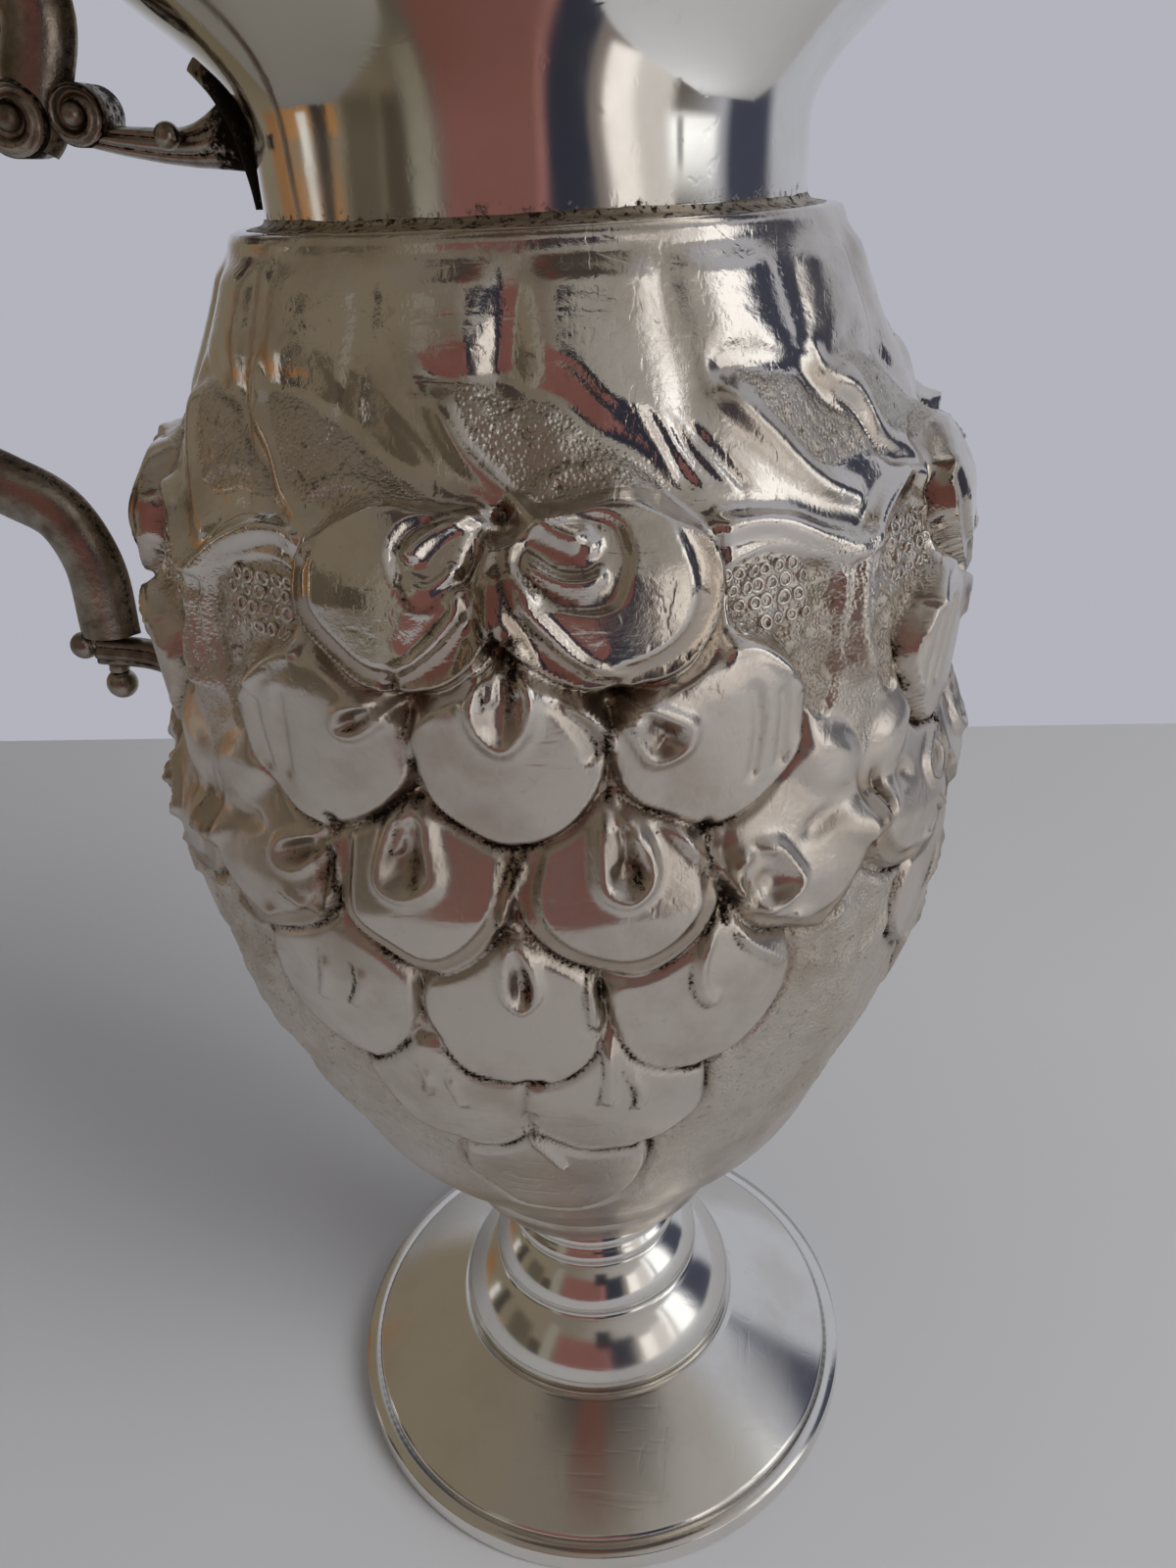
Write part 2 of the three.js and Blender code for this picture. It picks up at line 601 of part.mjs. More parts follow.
place("foot_rim", footRim(), polished);
place("foot_dome", footDome(), polished);
place("foot_stem", footStem(), polished);
place("body", body(), chased);
place("neck", neck(), polished);
place("handle_upper_arm", upperArm(), antique);
place("handle_scroll", mainScroll(), antique);
place("handle_lower_bracket", lowerBracket(), antique);

const beadX = lerp(armRoot.x, armVolute.x, 0.42);
const beadY = ARM_RADIUS + EYE_BALL + 2 * SOLDER_GAP;
for (const [side, where] of [[-1, "front"], [1, "back"]]) {
  place(`arm_root_bead_${where}`, ball(EYE_BALL, beadX, side * beadY, armRoot.z), antique);
  place(`arm_volute_eye_${where}`, eye(armVolute, side), antique);
  place(`scroll_volute_eye_${where}`, eye(scrollVolute, side), antique);
}

const endBallX = scrollEnd.x - scrollHalf * SCROLL_END_SHARE - SOLDER_GAP - SMALL_BALL;
place("scroll_end_ball", ball(SMALL_BALL, endBallX, 0, scrollEnd.z - SMALL_BALL), antique);
const bracketBallZ = bracketZ - BRACKET_FALL / 6 - BRACKET_RADIUS - SOLDER_GAP - BRACKET_BALL;
place("bracket_ball", ball(BRACKET_BALL, bracketTipX + BRACKET_BALL, 0, bracketBallZ), antique);
const tailBallX = tail.x - BRACKET_RADIUS * TAIL_END_SHARE - SOLDER_GAP - SMALL_BALL;
place("tail_ball", ball(SMALL_BALL, tailBallX, 0, tail.z + SMALL_BALL), antique);

export default jug;
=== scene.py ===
"""Looks of a footed silver cream jug: chased body, mirror neck and foot, dark cast scroll handle."""
import math

import bpy
import numpy as np
from mathutils import Matrix, Vector


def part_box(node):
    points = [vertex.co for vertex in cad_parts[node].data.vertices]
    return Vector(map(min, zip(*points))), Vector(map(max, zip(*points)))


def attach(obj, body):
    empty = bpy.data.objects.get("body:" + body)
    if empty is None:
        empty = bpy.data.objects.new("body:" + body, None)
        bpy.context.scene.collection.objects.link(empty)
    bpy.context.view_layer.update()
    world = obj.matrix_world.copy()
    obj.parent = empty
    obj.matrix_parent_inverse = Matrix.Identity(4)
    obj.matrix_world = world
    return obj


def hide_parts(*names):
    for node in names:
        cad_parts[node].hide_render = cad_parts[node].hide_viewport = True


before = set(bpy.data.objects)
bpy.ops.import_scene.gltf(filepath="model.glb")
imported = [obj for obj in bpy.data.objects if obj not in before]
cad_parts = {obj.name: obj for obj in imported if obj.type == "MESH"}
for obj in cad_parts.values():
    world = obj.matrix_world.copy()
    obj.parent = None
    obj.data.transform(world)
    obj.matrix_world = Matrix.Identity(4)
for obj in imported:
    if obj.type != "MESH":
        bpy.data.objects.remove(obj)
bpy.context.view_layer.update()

MM = 0.001

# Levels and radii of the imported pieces, in millimetres


def corner(node, which):
    """The least corner, 0, or the greatest corner, 1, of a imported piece's box."""
    return [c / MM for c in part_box(node)[which]]


FOOT_RADIUS = corner("foot_rim", 1)[0]
RIM_TOP = corner("foot_rim", 1)[2]
DOME_EDGE_RADIUS = corner("foot_dome", 1)[0]
STEM_SEAT = corner("foot_stem", 0)[2]
BELL_RADIUS = corner("foot_stem", 1)[0]
BODY_SEAT = corner("body", 0)[2]
LEDGE = corner("body", 1)[2]
SCROLL_LOW = corner("handle_scroll", 0)[2]
SCROLL_TOP = corner("handle_scroll", 1)[2]

# Vessel
BODY_HEIGHT = LEDGE - BODY_SEAT
SHEET = 1.2
FLAT_RADIUS = 14.0
BOWL = (19.4, 2.0)
BELLY = (46.4, 69.0)
SHOULDER = (43.2, 106.8)
COLLAR = (31.4, BODY_HEIGHT - 1.0)
MOUTH_RADIUS = 25.6
PANELS = 4
PANEL_PITCH = 360 / PANELS
FRONT = -90.0
FINE_HALF = 68.0
FINE_COLUMNS = 272
PLAIN_COLUMNS = 268
OUTER_ROWS = 340
INNER_ROWS = 14
ROW_GAPS = ((44, 1.6), (66, 0.9), (95, 0.7), (128, 0.5), (142, 0.42), (172, 0.45), (176, 0.46))
SEED = 11
# Swell of the bowl and tuck over the stem: height, rise and reach
BOWL_SWELL = (67.0, 1.2, 7.0)
TUCK = (52.0, -3.6, 3.4)

# Neck
NECK_RADIUS = 27.5
NECK_STRAIGHT = 7.0
NECK_HEIGHT = 22.6
LIP_RADIUS = 41.6
SIDE_FLARE = 0.2
LIP_ROLL = 0.9
SPOUT_REACH = 10.0
SPOUT_LIFT = 6.0
SPOUT_SHARPNESS = 5
NECK_COLUMNS = 200
SEAM_COLUMNS = 300
# Section of the solder run round the neck: out from the neck and up from the collar
SEAM_SECTION = ((-0.3, -0.1), (-0.3, 0.9), (0.03, 0.9), (0.16, 0.6), (0.45, 0.35), (1.1, 0.16), (1.9, 0.03),
                (1.9, -0.1))

# Foot
FOOT_COLUMNS = 176
STEM_COLUMNS = 160
RIM_WIDTH = 4.4
WAIST = 12.4
# Bells of the stem: radius at the foot, radius at the head and height
BELLS = ((BELL_RADIUS, 15.6, 10.4), (16.6, WAIST, 7.0))
STEM_RINGS = 2
STEM_RING_RISE = 1.2
STEM_RING_HEIGHT = 3.6
# Hollow under the stem: radius and height above its seat
STEM_CUP = ((7.8, 7.3), (14.4, 6.2), (BELL_RADIUS - 1.8, 0.0))

# Handle
SCROLL_THICKNESS = 5.4
SCROLL_WIDTH = 7.0
SCROLL_END_SHARE = 0.72
SCROLL_VOLUTE = (-52.6, 186.5)
SCROLL_VOLUTE_RADIUS = 3.6
ARM_VOLUTE = (-45.8, 186.5)
ARM_VOLUTE_RADIUS = 2.9
VOLUTE_HALF_WIDTH = 3.0
ARM_ROOT = (-NECK_RADIUS, LEDGE + 8.6)
ARM_RADIUS = 2.3
STEM_X = -48.8
HANDLE_REACH = -86.0
SCROLL_END_X = -57.4
BRACKET_Z = LEDGE - 47.4
BRACKET_ROOT = -45.3
BRACKET_TIP = -59.3
BRACKET_FALL = 3.6
BRACKET_RADIUS = 1.9
TAIL = (-49.9, LEDGE - 66.4)
# Beads in pairs, front and back: x, half of the gap between them, z, radius and length
BEAD_PAIRS = {
    "arm_root_bead": (-36.1, 2.0, LEDGE + 8.6, 1.3, 3.5),
    "arm_volute_eye": (ARM_VOLUTE[0], 2.4, ARM_VOLUTE[1], 1.15, 1.9),
    "scroll_volute_eye": (SCROLL_VOLUTE[0], 2.4, SCROLL_VOLUTE[1], 1.3, 1.9),
}
# Balls: where the peg starts, the way it stands out, radius and length
BALLS = {
    "scroll_end_ball": ((-58.4, 0, 129.4), (-1, 0, -0.2), 1.75, 4.7),
    "bracket_ball": ((-57.4, 0, 127.0), (-0.05, 0, -1), 1.95, 5.4),
    "tail_ball": ((-50.4, 0, 110.4), (-1, 0, 0.15), 1.65, 4.4),
}


# Mesh helpers


def placed(name, data):
    """A new object in the scene."""
    made = bpy.data.objects.new(name, data)
    bpy.context.scene.collection.objects.link(made)
    return made


def settle(made, nodes=()):
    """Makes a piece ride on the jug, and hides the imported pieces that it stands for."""
    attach(made, "root")
    if nodes:
        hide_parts(*nodes)
    return made


def new_piece(name, points, faces, material, nodes=()):
    """A finished piece in metres from points in millimetres."""
    mesh = bpy.data.meshes.new(name)
    mesh.from_pydata((np.asarray(points, float) * MM).tolist(), [], faces)
    mesh.validate()
    mesh.polygons.foreach_set("use_smooth", np.ones(len(mesh.polygons), bool))
    mesh.materials.append(material)
    return settle(placed(name, mesh), nodes)


def carry(piece, name, values):
    """Lays a mask on a piece's points."""
    mask = piece.data.attributes.new(name, "FLOAT", "POINT")
    mask.data.foreach_set("value", np.asarray(values, np.float32))


def full_turn(count):
    return np.linspace(0, 2 * np.pi, count, endpoint=False)


def about_axis(radius, angle, z):
    """Points round the jug's axis."""
    return np.stack([radius * np.cos(angle), radius * np.sin(angle), z + 0 * angle], axis=-1)


def grid_faces(rows, columns, bands, strips):
    """Faces of a grid of points, closed where it has as many bands as rows or as many strips as columns."""
    i = np.arange(bands)[:, None]
    j = np.arange(strips)[None, :]
    here = i * columns
    after = (i + 1) % rows * columns
    side = (j + 1) % columns
    return np.stack([here + j, here + side, after + side, after + j], axis=-1).reshape(-1, 4)


def skin(rings, start=0):
    """Points and faces of a stack of equal rings that winds outwards, with a pole closing each end."""
    count = len(rings[0])
    points = np.concatenate(list(rings) + [[np.mean(rings[0], axis=0), np.mean(rings[-1], axis=0)]])
    faces = (grid_faces(len(rings), count, len(rings) - 1, count) + start).tolist()
    pole = start + len(rings) * count
    last = pole - count
    for k in range(count):
        n = (k + 1) % count
        faces.append([pole, start + n, start + k])
        faces.append([pole + 1, last + k, last + n])
    return points, faces


def joined(shells):
    """Several closed skins as one list of points and faces."""
    points, faces, start = [], [], 0
    for rings in shells:
        p, f = skin(rings, start)
        points.append(p)
        faces.extend(f)
        start += len(p)
    return np.concatenate(points), faces


def turned(profile, columns, wobble):
    """Rings about the jug's axis from radius and height pairs, a little out of true."""
    angle = full_turn(columns)
    rings = []
    for radius, z in profile:
        sway = wobble * (np.sin(3 * angle + z * 0.31) + 0.6 * np.sin(7 * angle - z * 0.53))
        rings.append(about_axis(radius + sway, angle, z))
    return rings


def bezier(points, steps):
    t = np.linspace(0, 1, steps + 1)[:, None]
    p = [np.asarray(q, float) for q in points]
    if len(p) == 3:
        return p[0] * (1 - t) ** 2 + 2 * p[1] * t * (1 - t) + p[2] * t * t
    return (p[0] * (1 - t) ** 3 + 3 * p[1] * t * (1 - t) ** 2
            + 3 * p[2] * t * t * (1 - t) + p[3] * t ** 3)


def smooth_line(points, per_span=8):
    """A centripetal curve through given points."""
    p = np.asarray(points, float)
    p = np.vstack([2 * p[0] - p[1], p, 2 * p[-1] - p[-2]])
    made = []
    for k in range(1, len(p) - 2):
        knots = [0.0]
        for a, b in zip(p[k - 1:k + 2], p[k:k + 3]):
            knots.append(knots[-1] + max(np.linalg.norm(b - a), 1e-6) ** 0.5)
        t = np.linspace(knots[1], knots[2], per_span, endpoint=False)[:, None]

        def mix(a, b, i, j):
            return ((knots[j] - t) * a + (t - knots[i]) * b) / (knots[j] - knots[i])

        a1 = mix(p[k - 1], p[k], 0, 1)
        a2 = mix(p[k], p[k + 1], 1, 2)
        a3 = mix(p[k + 1], p[k + 2], 2, 3)
        made.append(mix(mix(a1, a2, 0, 2), mix(a2, a3, 1, 3), 1, 2))
    return np.vstack(made + [p[-2:-1]])


def ease(x, low, high):
    t = np.clip((x - low) / (high - low), 0, 1)
    return t * t * (3 - 2 * t)


def bump(x, width):
    return np.exp(-(x / width) ** 2)


# Node helpers


def colour(r, g, b):
    return (r, g, b, 1.0)


class Net:
    """A node tree, with short ways to add nodes to it."""

    def __init__(self, tree):
        self.tree = tree

    def feed(self, socket, value):
        """Links a socket to another one, or gives it a plain value."""
        if isinstance(value, bpy.types.NodeSocket):
            self.tree.links.new(value, socket)
        else:
            socket.default_value = value

    def add(self, kind, feeds=None, **settings):
        """A new node with its settings and what feeds its inputs."""
        made = self.tree.nodes.new(kind)
        for key, value in settings.items():
            setattr(made, key, value)
        for key, value in (feeds or {}).items():
            self.feed(made.inputs[key], value)
        return made

    def maths(self, operation, a, b=0.0, c=0.0):
        return self.add("ShaderNodeMath", {0: a, 1: b, 2: c}, operation=operation).outputs[0]

    def times(self, a, b):
        return self.maths("MULTIPLY", a, b)

    def plus(self, a, b):
        return self.maths("ADD", a, b)

    def less(self, a, b):
        return self.maths("SUBTRACT", a, b)

    def greater(self, a, b):
        return self.maths("MAXIMUM", a, b)

    def scaled(self, a, share, start):
        """A share of a value, added to a start."""
        return self.maths("MULTIPLY_ADD", a, share, start)

    def ramp(self, value, low, high, to_low=0.0, to_high=1.0):
        """A smooth step from one value to another."""
        feeds = {"Value": value, "From Min": low, "From Max": high, "To Min": to_low, "To Max": to_high}
        return self.add("ShaderNodeMapRange", feeds, interpolation_type="SMOOTHSTEP").outputs[0]

    def mixed(self, share, a, b):
        return self.add("ShaderNodeMix", {0: share, 6: a, 7: b}, data_type="RGBA").outputs[2]

    def noise(self, where, scale, detail=4.0, rough=0.55):
        feeds = {"Vector": where, "Scale": scale, "Detail": detail, "Roughness": rough}
        return self.add("ShaderNodeTexNoise", feeds).outputs[0]

    def parts(self, vector):
        return self.add("ShaderNodeSeparateXYZ", {0: vector}).outputs

    def painted(self, name):
        """A mask that the piece carries on its points."""
        return self.add("ShaderNodeAttribute", attribute_name=name).outputs["Fac"]

    def circle(self, sides, radius):
        feeds = {"Resolution": sides, "Radius": radius}
        return self.add("GeometryNodeCurvePrimitiveCircle", feeds).outputs[0]

    def effect(self, group, **feeds):
        """A shared effect with its own values."""
        return self.add("ShaderNodeGroup", feeds, node_tree=group).outputs


SOCKETS = {"float": "NodeSocketFloat", "whole": "NodeSocketInt", "colour": "NodeSocketColor",
           "vector": "NodeSocketVector", "metal": "NodeSocketMaterial", "shape": "NodeSocketGeometry"}


def new_group(name, inputs, outputs, kind="ShaderNodeTree"):
    """An empty group: its net, the sockets that it is given and those that it puts out."""
    tree = bpy.data.node_groups.new(name, kind)
    for way, sockets in (("INPUT", inputs), ("OUTPUT", outputs)):
        for label, value in sockets.items():
            tree.interface.new_socket(label, in_out=way, socket_type=SOCKETS[value])
    net = Net(tree)
    return net, net.add("NodeGroupInput").outputs, net.add("NodeGroupOutput").inputs


def new_tree(name, sizes):
    """An empty geometry tree with named sizes."""
    return new_group(name, {"Geometry": "shape", **sizes}, {"Geometry": "shape"}, "GeometryNodeTree")


def ended(net, made, shape, metal):
    """Ends a geometry tree as one smooth mesh of a metal."""
    solid = net.add("GeometryNodeRealizeInstances", {"Geometry": shape})
    smooth = net.add("GeometryNodeSetShadeSmooth", {"Geometry": solid.outputs[0]})
    laid = net.add("GeometryNodeSetMaterial", {"Geometry": smooth.outputs[0], "Material": metal})
    net.feed(made["Geometry"], laid.outputs[0])
    return net.tree


def grown(name, data, tree, sizes, nodes=()):
    """Runs a tree on a mesh or curve and keeps the result as a plain mesh."""
    source = placed(name + "_source", data)
    modifier = source.modifiers.new("grow", "NODES")
    modifier.node_group = tree
    for item in tree.interface.items_tree:
        if item.in_out == "INPUT" and item.name in sizes:
            modifier[item.identifier] = sizes[item.name]
    graph = bpy.context.evaluated_depsgraph_get()
    mesh = bpy.data.meshes.new_from_object(source.evaluated_get(graph))
    source.modifiers.remove(modifier)
    bpy.data.objects.remove(source)
    mesh.name = name
    return settle(placed(name, mesh), nodes)


# Shared effects of the silver's surface


def tarnish_group():
    """Warm and cool blotches that old silver gets, as a colour and a mask."""
    inputs = dict(Where="vector", Silver="colour", Stain="colour", Scale="float", Amount="float")
    net, given, made = new_group("tarnish", inputs, dict(Colour="colour", Mask="float"))
    cloud = net.noise(given["Where"], given["Scale"], 5.0, 0.62)
    speck = net.noise(given["Where"], net.times(given["Scale"], 7.0), 3.0, 0.7)
    specks = net.times(net.ramp(speck, 0.6, 0.74), 0.6)
    mask = net.times(net.greater(net.ramp(cloud, 0.42, 0.72), specks), given["Amount"])
    net.feed(made["Colour"], net.mixed(mask, given["Silver"], given["Stain"]))
    net.feed(made["Mask"], mask)
    return net.tree


def dirt_group():
    """Old polish caught in hollows: solid in the deepest places and broken into crumbs at its edge."""
    inputs = dict(Where="vector", Hollow="float", Scale="float")
    net, given, made = new_group("caught_polish", inputs, dict(Mask="float"))
    crumbs = net.noise(given["Where"], given["Scale"], 6.0, 0.75)
    laid = net.plus(given["Hollow"], net.scaled(crumbs, 2.4, -1.3))
    inside = net.ramp(given["Hollow"], 0.05, 0.25)
    net.feed(made["Mask"], net.times(net.ramp(laid, 0.22, 0.75), inside))
    return net.tree


def scratch_group():
    """Fine wiping scratches that cross each other, as a height."""
    inputs = dict(Where="vector", Scale="float", Turn="vector")
    net, given, made = new_group("wiping_scratches", inputs, dict(Height="float"))
    lines = []
    for turn, stretch, low, high in ((given["Turn"], (1.0, 0.06, 0.5), 0.58, 0.7),
                                     ((0.5, 0.9, 1.1), (0.08, 1.0, 0.8), 0.6, 0.72)):
        drawn = net.add("ShaderNodeMapping", {"Vector": given["Where"], "Rotation": turn, "Scale": stretch})
        lines.append(net.ramp(net.noise(drawn.outputs[0], given["Scale"], 2.0, 0.5), low, high))
    net.feed(made["Height"], net.times(net.plus(*lines), -1.0))
    return net.tree


def matting_group():
    """Punched ground: close small cells with raised rims, as a height."""
    net, given, made = new_group("punched_ground", dict(Where="vector", Scale="float"), dict(Height="float"))
    feeds = {"Vector": given["Where"], "Scale": given["Scale"]}
    cells = net.add("ShaderNodeTexVoronoi", feeds, feature="F1").outputs["Distance"]
    grain = net.noise(given["Where"], net.times(given["Scale"], 2.5), 3.0)
    net.feed(made["Height"], net.plus(net.ramp(cells, 0.2, 0.6), net.times(grain, 0.5)))
    return net.tree


TARNISH = tarnish_group()
DIRT = dirt_group()
SCRATCHES = scratch_group()
MATTING = matting_group()


# Finishes


def new_finish(name):
    """A material, its net and the place on the piece."""
    material = bpy.data.materials.new(name)
    material.use_nodes = True
    net = Net(material.node_tree)
    return material, net, net.add("ShaderNodeTexCoord").outputs["Object"]


def finished(material, net, shade, rough, height=None, strength=0.0, depth=0.0, metallic=1.0):
    """Feeds a material's shader its colour, its roughness and the height of its relief."""
    feeds = {"Base Color": shade, "Roughness": rough, "Metallic": metallic}
    if height is not None:
        bumps = {"Height": height, "Strength": strength, "Distance": depth}
        feeds["Normal"] = net.add("ShaderNodeBump", bumps).outputs[0]
    for key, value in feeds.items():
        net.feed(net.tree.nodes["Principled BSDF"].inputs[key], value)
    return material


# Places in metres: where the painted reflection high on the neck fades in, and where the lower lobes turn
# darker, warmer and duller than the upper ones
NECK_REFLECTION_RISE = ((LEDGE + 6) * MM, (LEDGE + 13) * MM)
ROWS_COOL = (0.137, 0.146)
ROWS_SHINE = (0.138, 0.146)
NECK_REFLECTION_EDGE = 0.012


def polished_silver(name, stain, least_rough, soiled=False):
    """Mirror sheet silver with wiping scratches and faint stains; the neck's is soiled and carries a painted
    khaki reflection high on its handle side.
    """
    material, net, where = new_finish(name)
    aged = net.effect(TARNISH, Where=where, Silver=colour(0.83, 0.81, 0.77), Stain=colour(0.52, 0.47, 0.38),
                      Scale=55.0, Amount=stain)
    shade = aged["Colour"]
    rough = net.scaled(aged["Mask"], 0.28, least_rough)
    if soiled:
        caught = net.effect(DIRT, Where=where, Hollow=net.painted("hollow"), Scale=900.0)["Mask"]
        # Painted reflection: a khaki patch on the upper neck's handle side stands for the khaki surroundings
        # that the flare mirrors
        side = net.parts(where)
        behind = net.ramp(side[0], NECK_REFLECTION_EDGE, -NECK_REFLECTION_EDGE, 0.0, 0.85)
        painted_reflection = net.times(net.ramp(side[2], *NECK_REFLECTION_RISE), behind)
        shade = net.mixed(painted_reflection, shade, colour(0.50, 0.455, 0.35))
        shade = net.mixed(caught, shade, colour(0.05, 0.036, 0.024))
        rough = net.greater(rough, net.times(caught, 0.85))
    lines = net.effect(SCRATCHES, Where=where, Scale=700.0, Turn=(0.1, 0.3, 0.2))["Height"]
    dents = net.noise(where, 42.0, 2.0)
    height = net.plus(net.times(lines, 0.02), net.times(dents, 0.5))
    return finished(material, net, shade, rough, height, 0.22, 0.6 * MM)


def chased_silver():
    """Satin chased silver: bright on the high places, dark polish in the grooves, punched grounds."""
    material, net, where = new_finish("chased_silver")
    hollow = net.painted("hollow")
    ground = net.painted("ground")
    aged = net.effect(TARNISH, Where=where, Silver=colour(0.73, 0.685, 0.635), Stain=colour(0.44, 0.38, 0.31),
                      Scale=90.0, Amount=0.6)
    caught = net.effect(DIRT, Where=where, Hollow=hollow, Scale=2300.0)["Mask"]
    level = net.parts(where)[2]
    specks = net.times(net.ramp(net.noise(where, 900.0, 4.0, 0.7), 0.58, 0.68), ground)
    shade = aged["Colour"]
    for share, tone in ((net.ramp(level, *ROWS_COOL, 0.35, 0.0), colour(0.52, 0.44, 0.355)),
                        (net.times(ground, 0.5), colour(0.56, 0.51, 0.43)),
                        (net.times(specks, 0.8), colour(0.14, 0.10, 0.065)),
                        (net.times(net.painted("grime"), 0.75), colour(0.36, 0.28, 0.20)),
                        (net.times(net.ramp(hollow, 0.08, 0.75), 0.6), colour(0.20, 0.15, 0.10)),
                        (caught, colour(0.035, 0.025, 0.016))):
        shade = net.mixed(share, shade, tone)
    satin = net.scaled(aged["Mask"], 0.22, net.ramp(level, *ROWS_SHINE, 0.3, 0.1))
    rough = net.greater(net.scaled(ground, 0.2, satin), net.times(caught, 0.9))
    lines = net.effect(SCRATCHES, Where=where, Scale=900.0, Turn=(0.0, 0.2, 0.9))["Height"]
    cells = net.effect(MATTING, Where=where, Scale=2100.0)["Height"]
    grain = net.noise(where, 1500.0, 3.0, 0.6)
    height = net.plus(net.times(lines, 0.12), net.times(grain, 0.22))
    height = net.plus(height, net.times(cells, net.times(ground, 0.9)))
    return finished(material, net, shade, rough, height, 0.4, 0.35 * MM)


def antique_silver():
    """Cast silver gone brown, rubbed bright here and there."""
    material, net, where = new_finish("antique_silver")
    aged = net.effect(TARNISH, Where=where, Silver=colour(0.38, 0.335, 0.28), Stain=colour(0.13, 0.10, 0.07),
                      Scale=160.0, Amount=0.9)
    caught = net.effect(DIRT, Where=where, Hollow=net.painted("hollow"), Scale=1300.0)["Mask"]
    shade = net.mixed(caught, aged["Colour"], colour(0.03, 0.022, 0.015))
    rough = net.greater(net.scaled(aged["Mask"], 0.2, 0.24), net.times(caught, 0.9))
    pits = net.noise(where, 800.0, 5.0, 0.65)
    return finished(material, net, shade, rough, pits, 0.35, 0.3 * MM)


def solder_seam():
    """Dull yellowed solder with crumbs of dark dirt."""
    material, net, where = new_finish("solder_seam")
    crumbs = net.ramp(net.noise(where, 1300.0, 6.0, 0.7), 0.5, 0.6)
    aged = net.effect(TARNISH, Where=where, Silver=colour(0.50, 0.45, 0.375), Stain=colour(0.36, 0.28, 0.2),
                      Scale=180.0, Amount=0.9)
    shade = net.mixed(crumbs, aged["Colour"], colour(0.07, 0.05, 0.035))
    return finished(material, net, shade, net.scaled(crumbs, 0.4, 0.38))


MIRROR = polished_silver("polished_silver", 0.25, 0.13)
NECK_MIRROR = polished_silver("polished_neck_silver", 0.3, 0.07, soiled=True)
CHASED = chased_silver()
ANTIQUE = antique_silver()
SEAM = solder_seam()


# The chased wall of the vessel: places on it are degrees from the middle of a panel and height in millimetres


